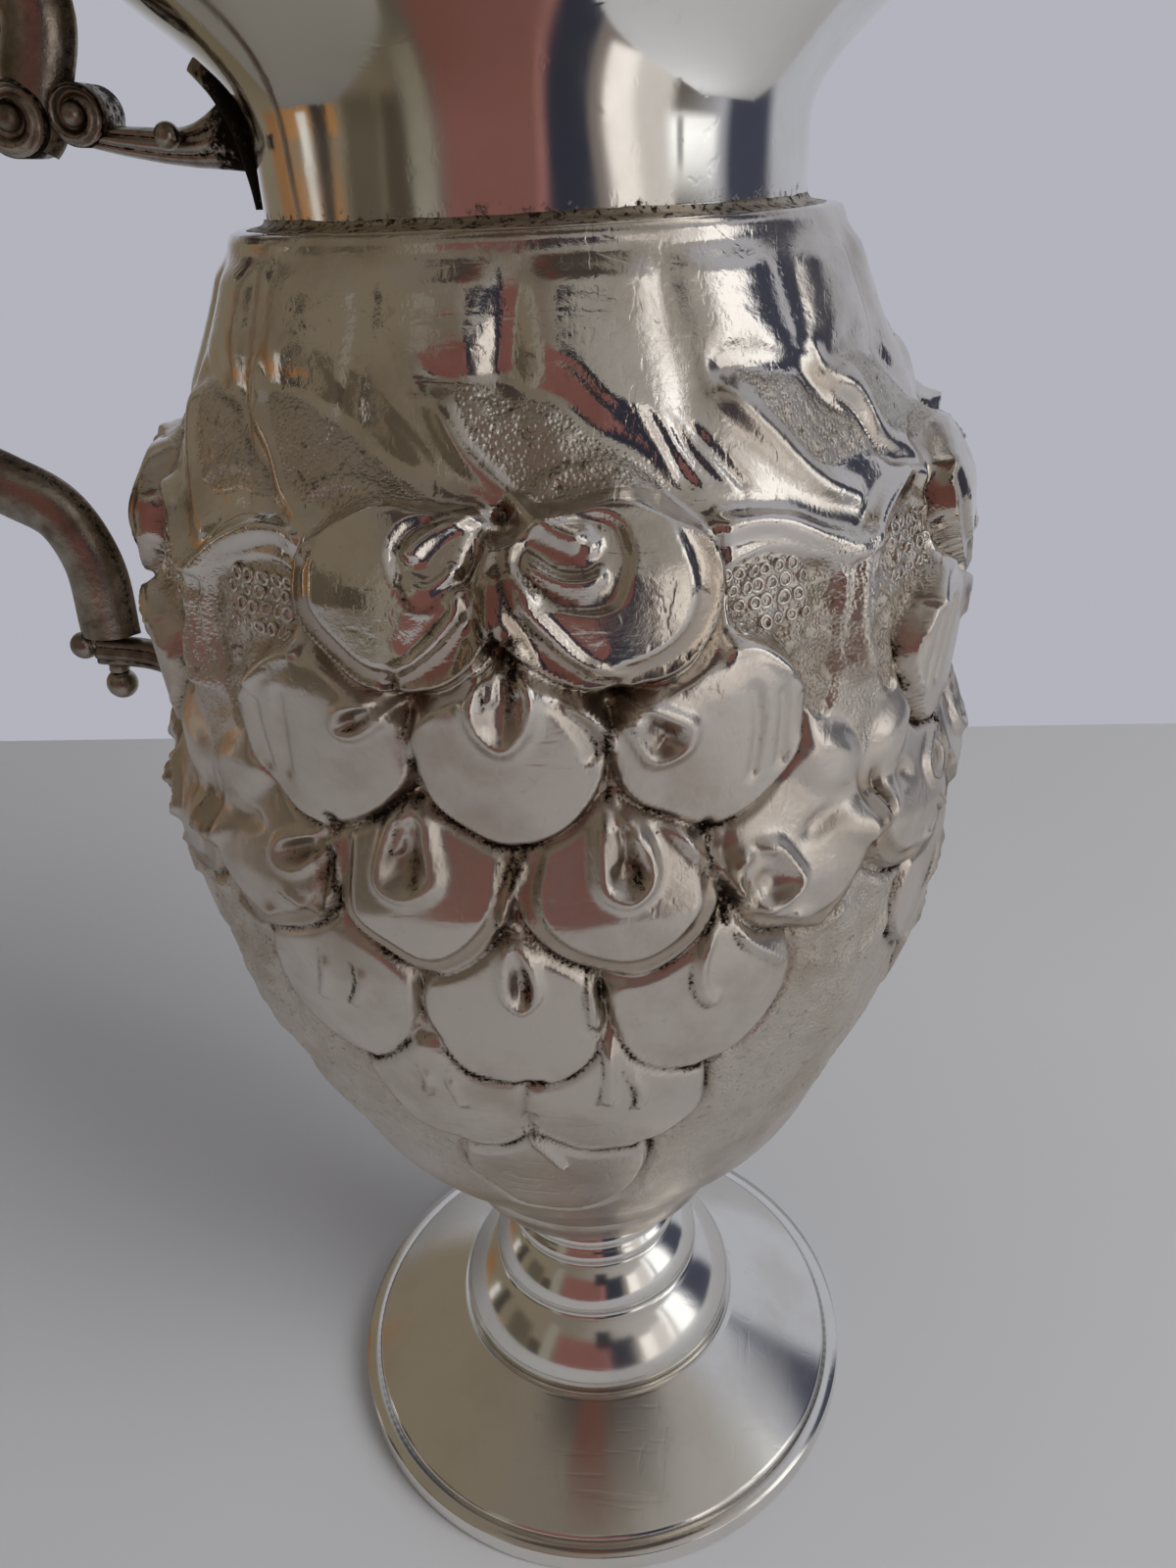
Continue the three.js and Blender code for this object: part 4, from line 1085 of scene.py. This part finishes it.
def ring_tree():
    """A small ring on every point, lying on the wall, of slightly uneven size."""
    sizes = dict(Radius="float", Wire="float", Seed="whole", Metal="metal")
    net, given, made = new_tree("ring_punches", sizes)
    ring = net.circle(14, given["Radius"])
    tube = net.add("GeometryNodeCurveToMesh", {"Curve": ring, "Profile Curve": net.circle(6, given["Wire"])})
    way = net.add("GeometryNodeInputNamedAttribute", {"Name": "way"}, data_type="FLOAT_VECTOR")
    turn = net.add("FunctionNodeAlignRotationToVector", {"Vector": way.outputs[0]}, axis="Z")
    size = net.add("FunctionNodeRandomValue", {2: 0.8, 3: 1.15, "Seed": given["Seed"]}, data_type="FLOAT")
    laid = net.add("GeometryNodeInstanceOnPoints", {
        "Points": given["Geometry"], "Instance": tube.outputs[0], "Rotation": turn.outputs[0],
        "Scale": size.outputs[1]})
    return ended(net, made, laid.outputs[0], given["Metal"])


# Neck and foot


def ring_piece(name, rings, material, nodes=(), flipped=False):
    """Rings that close on the first of them as one piece; flipped where they wind the other way."""
    count = len(rings[0])
    faces = grid_faces(len(rings), count, len(rings), count)
    if flipped:
        faces = faces[:, [0, 3, 2, 1]]
    return new_piece(name, np.concatenate(rings), faces.tolist(), material, nodes)


def neck_outline():
    """Radius and height above the collar, from the seam to the lip."""
    mid = NECK_HEIGHT - NECK_STRAIGHT
    flare = bezier([(NECK_RADIUS, NECK_STRAIGHT), (NECK_RADIUS, NECK_STRAIGHT + 0.35 * mid),
                    (NECK_RADIUS + 0.4 * (LIP_RADIUS - NECK_RADIUS), NECK_STRAIGHT + 0.55 * mid),
                    (LIP_RADIUS, NECK_HEIGHT)], 26)
    return [(NECK_RADIUS, z) for z in np.linspace(0, NECK_STRAIGHT, 8)] + [tuple(p) for p in flare[1:]]


def neck():
    """The neck, flared along the handle's plane and drawn out into the spout, with a rolled lip."""
    rows = neck_outline()
    roll = [(LIP_RADIUS + LIP_ROLL * np.cos(t) - 0.2, NECK_HEIGHT + LIP_ROLL * (0.6 + np.sin(t)))
            for t in np.linspace(-0.35, 1.25, 12) * np.pi]
    inside = [(r - SHEET * 1.3, z) for r, z in rows[::-1]]
    angle = full_turn(NECK_COLUMNS)
    narrowing = (SIDE_FLARE - 1) * np.sin(angle) ** 2
    rings = []
    for radius, z in rows + roll + inside[1:]:
        share = max((z - NECK_STRAIGHT) / (NECK_HEIGHT - NECK_STRAIGHT), 0)
        pull = np.clip(np.cos(angle), 0, None) ** SPOUT_SHARPNESS * min(share, 1.1) ** 2
        sway = 0.05 * np.sin(5 * angle + 0.3 * z) + 0.03 * np.sin(11 * angle - 0.2 * z)
        r = radius + narrowing * (max(radius, NECK_RADIUS) - NECK_RADIUS) + SPOUT_REACH * pull + sway
        rings.append(about_axis(r, angle, LEDGE + z + SPOUT_LIFT * pull))
    made = ring_piece("flared_neck", rings, NECK_MIRROR, ["neck"])
    level = np.concatenate(rings)[:, 2]
    carry(made, "hollow", 0.42 * (1 - ease(level, LEDGE + 1.0, LEDGE + 2.6)))
    return made


def collar_seam():
    """The solder run round the foot of the neck: a lumpy fillet."""
    draw = np.random.default_rng(SEED + 1)
    angle = full_turn(SEAM_COLUMNS)
    rings = []
    for out, up in SEAM_SECTION:
        lump = 1 + 0.10 * blurred(draw.normal(size=(1, SEAM_COLUMNS)), 3)[0] + 0.08 * np.sin(5 * angle + 1.3)
        r = NECK_RADIUS + max(out, 0) * lump + min(out, 0)
        rings.append(about_axis(r, angle, LEDGE + max(up, 0) * lump + min(up, 0)))
    return ring_piece("collar_seam", rings, SEAM, flipped=True)


def foot_rim():
    """The rolled ring that the jug stands on."""
    inner = FOOT_RADIUS - RIM_WIDTH
    face = bezier([(FOOT_RADIUS - 0.5, 0.0), (FOOT_RADIUS + 0.1, 0.1), (FOOT_RADIUS, 0.45 * RIM_TOP),
                   (FOOT_RADIUS - 0.35, 0.95 * RIM_TOP), (FOOT_RADIUS - 1.3, RIM_TOP)], 18)
    profile = [(inner, 0.0), (inner + 0.4, 0.0)] + [tuple(p) for p in face] + [(inner, RIM_TOP)]
    return ring_piece("rolled_foot_rim", turned(profile, FOOT_COLUMNS, 0.02), MIRROR, ["foot_rim"])


def foot_dome():
    """The trumpet-shaped sheet between the rim and the stem."""
    seat = BELL_RADIUS + 0.35
    edge = DOME_EDGE_RADIUS
    bore = BELL_RADIUS - 3 * SHEET
    over = bezier([(edge, RIM_TOP + 0.3), ((edge + seat) / 2 + 1.2, RIM_TOP + 4.6), (seat, STEM_SEAT)], 26)
    profile = [(edge, RIM_TOP - 0.6)] + [tuple(p) for p in over]
    profile += [(seat - 0.3, STEM_SEAT), (bore, STEM_SEAT), (bore, STEM_SEAT - SHEET)]
    profile += [(r - 1.6, z - SHEET) for r, z in over[::-1][:-2]] + [(edge - 2.4, RIM_TOP - 0.6)]
    return ring_piece("trumpet_foot_dome", turned(profile, FOOT_COLUMNS, 0.05), MIRROR, ["foot_dome"])


def foot_stem():
    """Two turned bells, a stack of rings and a flared top, over a hollow."""
    profile = [(radius, STEM_SEAT + up) for radius, up in STEM_CUP]
    z = STEM_SEAT
    for low, high, height in BELLS:
        for t in np.linspace(0, 1, 16):
            swell = math.cos(t * math.pi / 2) ** 0.8
            profile.append((high + (low - high) * swell - 0.5 * (1 - t) ** 8, z + height * t))
        z += height
        profile.append((high + 0.05, z))
    for _ in range(STEM_RINGS):
        for share in np.linspace(0.06, 0.94, 9):
            profile.append((WAIST + STEM_RING_RISE * math.sin(math.pi * share), z + STEM_RING_HEIGHT * share))
        z += STEM_RING_HEIGHT
    profile += [tuple(p) for p in bezier([(WAIST, z), (WAIST + 0.1, z + 2.6), (FLAT_RADIUS, BODY_SEAT)], 8)]
    points, faces = skin(turned(profile, STEM_COLUMNS, 0.03))
    return new_piece("belled_foot_stem", points, faces, MIRROR, ["foot_stem"])


# Handle


def swept(path, section, steps):
    """Rings of a bar along a line in the handle's plane; the section gives offsets out and across."""
    line = smooth_line(path, 24)
    gaps = np.hypot(*np.diff(line, axis=0).T)
    along = np.concatenate([[0], np.cumsum(gaps)])
    at = np.linspace(0, along[-1], steps + 1)
    x = np.interp(at, along, line[:, 0])
    z = np.interp(at, along, line[:, 1])
    tx, tz = np.gradient(x), np.gradient(z)
    size = np.hypot(tx, tz)
    tx, tz = tx / size, tz / size
    rings = []
    for k in range(steps + 1):
        n, y = section(k / steps)
        rings.append(np.stack([x[k] + tz[k] * n, y, z[k] - tx[k] * n], axis=1))
    return rings


def grooved_oval(thick, wide, count, groove=0.0):
    """An oval bar section with a pair of grooves along both of its flat sides."""
    t = full_turn(count)
    n, y = np.cos(t), np.sin(t)
    line = groove * (bump(n - 0.42, 0.16) + bump(n + 0.42, 0.16))
    return thick * n, (wide - line) * y


VOLUTE_TURNS = 1.4
VOLUTE_RIDGE = 0.75


def volute(place, radius):
    """A rolled scroll end: a drum whose two faces carry a coiled ridge."""
    angle = full_turn(56)
    shares = np.concatenate([np.linspace(0.08, 0.94, 16), [1.0]])
    pitch = 1 / (VOLUTE_TURNS + 0.4)
    rings = []
    for side in (-1, 1):
        face = []
        for share in shares:
            coil = 0.5 + 0.5 * np.cos(2 * np.pi * (share / pitch) - side * angle)
            proud = VOLUTE_RIDGE * coil ** 0.7 * ease(share, 0.3, 0.45) * (1 - ease(share, 0.9, 1.0))
            y = side * (VOLUTE_HALF_WIDTH - 0.5 + proud)
            face.append(np.stack([place[0] + radius * share * np.cos(angle), y,
                                  place[1] + radius * share * np.sin(angle)], axis=1))
        rings += face if side < 0 else face[::-1]
    return rings


def domed(place, axis, radius, length):
    """A turned bead on a short peg: place is where the peg starts, axis the way it stands out."""
    a = Vector(axis).normalized()
    b = a.orthogonal().normalized()
    c = a.cross(b)
    peg = 0.62 * radius
    rise = length - 2 * radius
    profile = [(peg, -0.3), (peg, max(rise, 0.05) * 0.6), (peg * 1.05, max(rise, 0.1))]
    turn = np.linspace(-0.32, 0.46, 14) * np.pi
    profile += [(radius * math.cos(t), length - radius + radius * math.sin(t)) for t in turn]
    rings = []
    for r, h in profile:
        ring = [a * h + (b * math.cos(t) + c * math.sin(t)) * r for t in full_turn(28)]
        rings.append(np.asarray(place) + np.array(ring))
    return rings


def hollow_of(points, faces, strength):
    """Where a cast piece's surface is caught between higher places, from its own bends."""
    mesh = bpy.data.meshes.new("probe")
    mesh.from_pydata(points.tolist(), [], faces)
    normals = np.zeros(len(points) * 3)
    mesh.vertices.foreach_get("normal", normals)
    normals = normals.reshape(-1, 3)
    edges = np.zeros(len(mesh.edges) * 2, int)
    mesh.edges.foreach_get("vertices", edges)
    edges = edges.reshape(-1, 2)
    bpy.data.meshes.remove(mesh)
    gap = points[edges[:, 1]] - points[edges[:, 0]]
    size = np.maximum(np.linalg.norm(gap, axis=1), 1e-6)
    lean = ((gap / size[:, None]) * normals[edges[:, 0]]).sum(1)
    lean2 = ((-gap / size[:, None]) * normals[edges[:, 1]]).sum(1)
    total = np.zeros(len(points))
    count = np.zeros(len(points))
    np.add.at(total, edges[:, 0], lean)
    np.add.at(total, edges[:, 1], lean2)
    np.add.at(count, edges[:, 0], 1)
    np.add.at(count, edges[:, 1], 1)
    return np.clip(strength * total / np.maximum(count, 1), 0, 1)


def cast_piece(name, shells, nodes, dark_span=None):
    """Cast shells as one piece, dark in its hollows and, from a ramp between two places along X towards
    greater X, darkened all over.
    """
    points, faces = joined(shells)
    made = new_piece(name, points, faces, ANTIQUE, nodes)
    hollow = hollow_of(points, faces, 3.0)
    if dark_span:
        hollow = np.maximum(hollow, ease(points[:, 0], *dark_span))
    carry(made, "hollow", hollow)
    return made


# The arm's root and pad: half thickness and half width
ARM_SPREAD = (4.6, 3.6)
PAD_SIZE = (1.7, 5.5)
# The pad's middle line: lean away from the neck and height above the collar
ARM_PAD = ((0.0, 1.6), (0.0, 5.0), (0.4, 8.6), (2.1, 12.0), (5.2, 15.4))
# How far the arm and the pad go into the neck's wall
SEATED = 0.6


def upper_arm():
    """The arm from its pad on the neck to its volute, seated in the neck's wall."""
    reach = ARM_VOLUTE[0] - ARM_ROOT[0]
    low = ARM_VOLUTE[1] - ARM_VOLUTE_RADIUS
    path = [(ARM_ROOT[0] - 0.6, ARM_ROOT[1] + 0.4), (ARM_ROOT[0] + reach * 0.4, ARM_ROOT[1] - 0.9),
            (ARM_ROOT[0] + reach * 0.75, low + 0.3), (ARM_VOLUTE[0], low + ARM_RADIUS / 2)]

    def section(t):
        spread = max(0.0, 1 - 2 * t) ** 2
        thick = ARM_RADIUS * (1 - t / 2) * (1 - spread) + ARM_SPREAD[0] * spread
        wide = ARM_RADIUS * (1 - spread) + ARM_SPREAD[1] * spread
        return grooved_oval(thick, wide, 44, 0.5)

    def pad_section(t):
        return grooved_oval(PAD_SIZE[0], PAD_SIZE[1] * math.sin(math.pi * (0.06 + 0.88 * t)), 44)

    pad = [(-NECK_RADIUS - 0.5 - lean, LEDGE + z) for lean, z in ARM_PAD]
    shells = [swept(path, section, 40), swept(pad, pad_section, 24), volute(ARM_VOLUTE, ARM_VOLUTE_RADIUS)]
    outline = np.array(neck_outline())
    for ring in shells[0] + shells[1]:
        wall = np.interp(ring[:, 2] - LEDGE, outline[:, 1], outline[:, 0])
        ring[:, 0] = np.minimum(ring[:, 0], SEATED - np.sqrt(wall ** 2 - ring[:, 1] ** 2))
    # The arm is darkened all over towards the place where it meets the neck's wall
    dark_span = (ARM_ROOT[0] - 8.0, ARM_ROOT[0] - 2.0)
    return cast_piece("cast_upper_arm", shells, ["handle_upper_arm"], dark_span)


def lower_bracket():
    """The strut from the scroll's end to the vessel, and the leaf that runs down from it."""
    root_z = BRACKET_Z - BRACKET_FALL
    face = BRACKET_ROOT - 3.5
    bar = [(BRACKET_TIP, BRACKET_Z), (BRACKET_ROOT - 7, BRACKET_Z - BRACKET_FALL / 4),
           (BRACKET_ROOT - 1.0, root_z)]
    leaf = [(face - 0.4, BRACKET_Z), (face, root_z - BRACKET_RADIUS), TAIL]

    def leaf_section(t):
        spread = math.sin(math.pi * (0.2 + 0.72 * t))
        return grooved_oval(BRACKET_RADIUS * (1 - 0.36 * t), 3.5 * spread, 40, 0.3)

    def bar_section(_):
        return grooved_oval(BRACKET_RADIUS, BRACKET_RADIUS, 40, 0.45)

    shells = [swept(bar, bar_section, 24), swept(leaf, leaf_section, 28)]
    return cast_piece("cast_lower_bracket", shells, ["handle_lower_bracket"])


def beads():
    """Every bead and ball of the handle, each on its own short peg."""
    ends = {}
    for pair, (x, half, z, radius, length) in BEAD_PAIRS.items():
        for name, y in (("front", -1), ("back", 1)):
            ends[f"{pair}_{name}"] = ((x, half * y, z), (0, y, 0), radius, length)
    for node, end in {**ends, **BALLS}.items():
        cast_piece(f"turned_{node}", [domed(*end)], [node])


def scroll_bar_tree():
    """A bar along a curve: an oval section with a thin ridge on both sides, thinner towards its ends."""
    net, given, made = new_tree("scroll_bar", {
        "Half thickness": "float", "Half width": "float", "Ridge rise": "float", "End share": "float",
        "Metal": "metal"})
    factor = net.add("GeometryNodeSplineParameter").outputs["Factor"]
    centred = net.scaled(factor, 2.0, -1.0)
    loss = net.times(net.less(1.0, given["End share"]), net.times(centred, centred))
    path = net.add("GeometryNodeSetCurveRadius", {"Curve": given["Geometry"], "Radius": net.less(1.0, loss)})
    x, y, _ = net.parts(net.add("GeometryNodeInputPosition").outputs[0])
    flat = net.maths("DIVIDE", x, RIDGE_SHARE)
    squared = net.times(flat, flat)
    peak = net.maths("EXPONENT", net.times(squared, -1.0))
    side = net.scaled(peak, given["Ridge rise"], given["Half width"])
    out = net.times(x, given["Half thickness"])
    shaped = net.add("ShaderNodeCombineXYZ", {0: out, 1: net.times(y, side)})
    beside = net.less(net.maths("EXPONENT", net.times(squared, -0.15)), peak)
    soiled = net.add("GeometryNodeStoreNamedAttribute", {
        "Geometry": net.circle(44, 1.0), "Name": "hollow", "Value": beside}, data_type="FLOAT")
    section = net.add("GeometryNodeSetPosition", {
        "Geometry": soiled.outputs[0], "Position": shaped.outputs[0]})
    bar = net.add("GeometryNodeCurveToMesh", {
        "Curve": path.outputs[0], "Profile Curve": section.outputs[0], "Fill Caps": True})
    return ended(net, made, bar.outputs[0], given["Metal"])


# The scroll's big curve, as shares of its reach from the stem and of its rise, and its foot, in half
# thicknesses behind its end
SCROLL_LOOP = ((0.22, 0.96), (0.5, 1), (0.78, 0.93), (0.95, 0.8), (1, 0.64), (0.95, 0.5), (0.82, 0.385),
               (0.62, 0.29))
SCROLL_FOOT = ((3, 0.245), (1, 0.2), (0, 0.12), (0, 0.0))
SCROLL_RIDGE = 0.45
RIDGE_SHARE = 0.17


def scroll_path():
    """The scroll's middle line: up from its rolled end, over, out and down to the bracket."""
    half = SCROLL_THICKNESS / 2
    span = HANDLE_REACH - STEM_X
    rise = SCROLL_TOP - half - SCROLL_LOW
    x, z = SCROLL_VOLUTE
    points = [(x, z - SCROLL_VOLUTE_RADIUS + half), (x + SCROLL_VOLUTE_RADIUS - half, z),
              (x + SCROLL_VOLUTE_RADIUS - half / 2, z + SCROLL_VOLUTE_RADIUS),
              (STEM_X, z + 2 * SCROLL_VOLUTE_RADIUS + half)]
    points += [(STEM_X + span * reach, SCROLL_LOW + rise * up) for reach, up in SCROLL_LOOP]
    points += [(SCROLL_END_X - out * half, SCROLL_LOW + rise * up) for out, up in SCROLL_FOOT]
    return smooth_line(points, 10)


def main_scroll():
    """The handle's big scroll, grown along its path."""
    line = scroll_path()
    curve = bpy.data.curves.new("scroll_path", "CURVE")
    curve.dimensions = "3D"
    spline = curve.splines.new("POLY")
    spline.points.add(len(line) - 1)
    for point, (x, z) in zip(spline.points, line):
        point.co = (x * MM, 0.0, z * MM, 1.0)
    sizes = {"Half thickness": SCROLL_THICKNESS / 2 * MM, "Half width": SCROLL_WIDTH / 2 * MM,
             "Ridge rise": SCROLL_RIDGE * MM, "End share": SCROLL_END_SHARE, "Metal": ANTIQUE}
    return grown("cast_main_scroll", curve, scroll_bar_tree(), sizes, ["handle_scroll"])


def scroll_roll():
    """The rolled upper end of the scroll."""
    return cast_piece("cast_scroll_volute", [volute(SCROLL_VOLUTE, SCROLL_VOLUTE_RADIUS)], [])


# Stage


def soft_panel_group():
    """A soft-edged patch of sky by azimuth and elevation in degrees, as a mask."""
    names = ("Azimuth", "Elevation", "Middle", "Level", "Width", "Height", "Soft")
    net, given, made = new_group("soft_panel", dict.fromkeys(names, "float"), dict(Mask="float"))
    across = net.maths("WRAP", net.less(given["Azimuth"], given["Middle"]), 180.0, -180.0)
    up = net.less(given["Elevation"], given["Level"])
    masks = []
    for gap, half in ((across, given["Width"]), (up, given["Height"])):
        away = net.less(net.maths("ABSOLUTE", gap), half)
        masks.append(net.ramp(away, 0.0, given["Soft"], 1.0, 0.0))
    net.feed(made["Mask"], net.times(*masks))
    return net.tree


# Panels of the studio: azimuth, elevation, half width, half height, softness, colour
STUDIO = (
    (70, 10, 66, 40, 30, colour(0.47, 0.485, 0.54)),
    (176, 8, 40, 30, 20, colour(0.20, 0.17, 0.125)),
    (158, 2, 5, 8, 4, colour(0.25, 0.13, 0.06)),
    (178, -4, 16, 4, 3, colour(0.36, 0.19, 0.08)),
    (177, 3, 1.6, 9, 2, colour(0.75, 0.73, 0.70)),
    (186, 5, 2.5, 16, 3, colour(0.04, 0.035, 0.03)),
    (-152, 6, 6, 14, 6, colour(0.10, 0.085, 0.06)),
    (-136, 2, 4, 10, 4, colour(0.07, 0.055, 0.04)),
    (-127, 8, 3, 26, 3, colour(0.26, 0.245, 0.20)),
    (-97, -8, 19, 34, 8, colour(0.20, 0.09, 0.08)),
    (-79, -8, 2, 30, 3, colour(0.30, 0.14, 0.13)),
    (-68, -6, 8, 34, 5, colour(0.03, 0.033, 0.05)),
    (-55, -6, 4, 30, 3, colour(0.20, 0.17, 0.16)),
    (-48, 2, 5, 22, 3, colour(1.05, 1.0, 0.96)),
    (-36, 0, 5, 26, 5, colour(0.66, 0.63, 0.61)),
    (-18, 19, 9, 15, 6, colour(1.35, 1.35, 1.35)),
    (-25, 19, 1.0, 17, 1, colour(0.3, 0.3, 0.3)),
    (12, 4, 9, 24, 8, colour(0.055, 0.06, 0.09)),
    (-88, 68, 50, 9, 5, colour(0.06, 0.05, 0.045)),
    (-96, 62, 9, 5, 5, colour(0.12, 0.05, 0.04)),
    (105, 69, 45, 12, 7, colour(0.05, 0.048, 0.05)),
    (-82, 31, 5, 6, 3, colour(0.025, 0.025, 0.03)),
)
BACKGROUND = colour(0.45, 0.455, 0.51)
WINDOW_AZIMUTH = math.radians(-25)


def studio_world():
    """Soft panels of light and dark round the jug, and a plain background behind it for the camera."""
    world = bpy.data.worlds.new("studio")
    bpy.context.scene.world = world
    world.use_nodes = True
    net = Net(world.node_tree)
    net.tree.nodes.clear()
    x, y, z = net.parts(net.add("ShaderNodeTexCoord").outputs["Generated"])
    azimuth = net.maths("DEGREES", net.maths("ARCTAN2", y, x))
    elevation = net.maths("DEGREES", net.maths("ARCSINE", z))
    toward = net.scaled(y, math.sin(WINDOW_AZIMUTH), net.times(x, math.cos(WINDOW_AZIMUTH)))
    ceiling = net.mixed(net.ramp(toward, 0.0, 0.95), colour(0.19, 0.165, 0.135), colour(0.42, 0.41, 0.395))
    light = net.mixed(net.ramp(elevation, -12.0, 25.0), colour(0.13, 0.115, 0.10), ceiling)
    group = soft_panel_group()
    for *place, shade in STUDIO:
        feeds = dict(zip(("Middle", "Level", "Width", "Height", "Soft"), place))
        mask = net.effect(group, Azimuth=azimuth, Elevation=elevation, **feeds)["Mask"]
        light = net.mixed(mask, light, shade)
    seen = net.add("ShaderNodeLightPath").outputs["Is Camera Ray"]
    back = net.add("ShaderNodeBackground", {"Color": net.mixed(seen, light, BACKGROUND), "Strength": 1.0})
    net.add("ShaderNodeOutputWorld", {0: back.outputs[0]})


# The table in metres: its near and far edges, half its width and how far the far edge is askew at its ends
TABLE_FRONT = -0.36
TABLE_BACK = 0.24
TABLE_HALF = 1.2
TABLE_ASKEW = 0.02


def table():
    """The pale table top that the jug stands on."""
    material, net, where = new_finish("pale_table")
    mottle = net.mixed(net.noise(where, 9.0, 3.0), colour(0.46, 0.466, 0.485), colour(0.49, 0.496, 0.515))
    mesh = bpy.data.meshes.new("table")
    corners = [(-TABLE_HALF, TABLE_FRONT, 0), (TABLE_HALF, TABLE_FRONT, 0),
               (TABLE_HALF, TABLE_BACK + TABLE_ASKEW, 0), (-TABLE_HALF, TABLE_BACK - TABLE_ASKEW, 0)]
    mesh.from_pydata(corners, [], [(0, 1, 2, 3)])
    mesh.materials.append(finished(material, net, mottle, 0.6, metallic=0.0))
    made = placed("table", mesh)


# Lamps: name, place, power, width and height. All of them face the jug's middle and stay out of the mirrors.
LAMPS = (("window", (0.85, -0.45, 0.75), 11.0, 0.6, 0.8), ("ceiling", (-0.2, -0.2, 1.3), 2.5, 1.0, 1.0))
LAMP_TARGET = (0, 0, 0.1)


def lamp(name, place, power, wide, tall):
    light = bpy.data.lights.new(name, "AREA")
    light.shape = "RECTANGLE"
    light.size = wide
    light.size_y = tall
    light.energy = power
    made = placed(name, light)
    made.location = place
    made.rotation_euler = (Vector(LAMP_TARGET) - Vector(place)).to_track_quat("-Z", "Y").to_euler()
    made.visible_glossy = False


# Camera at the photograph's place

CAMERA_TURN = math.radians(6.5)
CAMERA_DISTANCE = 0.132
CAMERA_HEIGHT = 0.1793
CAMERA_PITCH = math.radians(28.31)
CAMERA_YAW = math.radians(1.01)
CAMERA_ROLL = math.radians(-2.84)
PHOTO_HEIGHT = 1600
FOCAL_PIXELS = 1160
SENSOR = 36.0


def camera():
    flat = Vector((math.sin(CAMERA_YAW), math.cos(CAMERA_YAW), 0))
    ahead = flat * math.cos(CAMERA_PITCH) - Vector((0, 0, math.sin(CAMERA_PITCH)))
    right = Vector((math.cos(CAMERA_YAW), -math.sin(CAMERA_YAW), 0))
    up = right.cross(ahead)
    across = right * math.cos(CAMERA_ROLL) + up * math.sin(CAMERA_ROLL)
    upright = up * math.cos(CAMERA_ROLL) - right * math.sin(CAMERA_ROLL)
    turn = Matrix.Rotation(CAMERA_TURN, 4, "Z")
    pose = Matrix((across, upright, -ahead)).transposed().to_4x4()
    pose.translation = Vector((0, -CAMERA_DISTANCE, CAMERA_HEIGHT))
    lens = bpy.data.cameras.new("camera")
    lens.sensor_width = SENSOR
    lens.lens = SENSOR * FOCAL_PIXELS / PHOTO_HEIGHT
    lens.clip_start = 0.005
    made = placed("camera", lens)
    made.matrix_world = turn @ pose
    bpy.context.scene.camera = made


camera()
chased_body()
neck()
collar_seam()
foot_rim()
foot_dome()
foot_stem()
main_scroll()
scroll_roll()
upper_arm()
lower_bracket()
beads()
table()
studio_world()
for each in LAMPS:
    lamp(*each)
bpy.context.scene.view_settings.view_transform = "Standard"
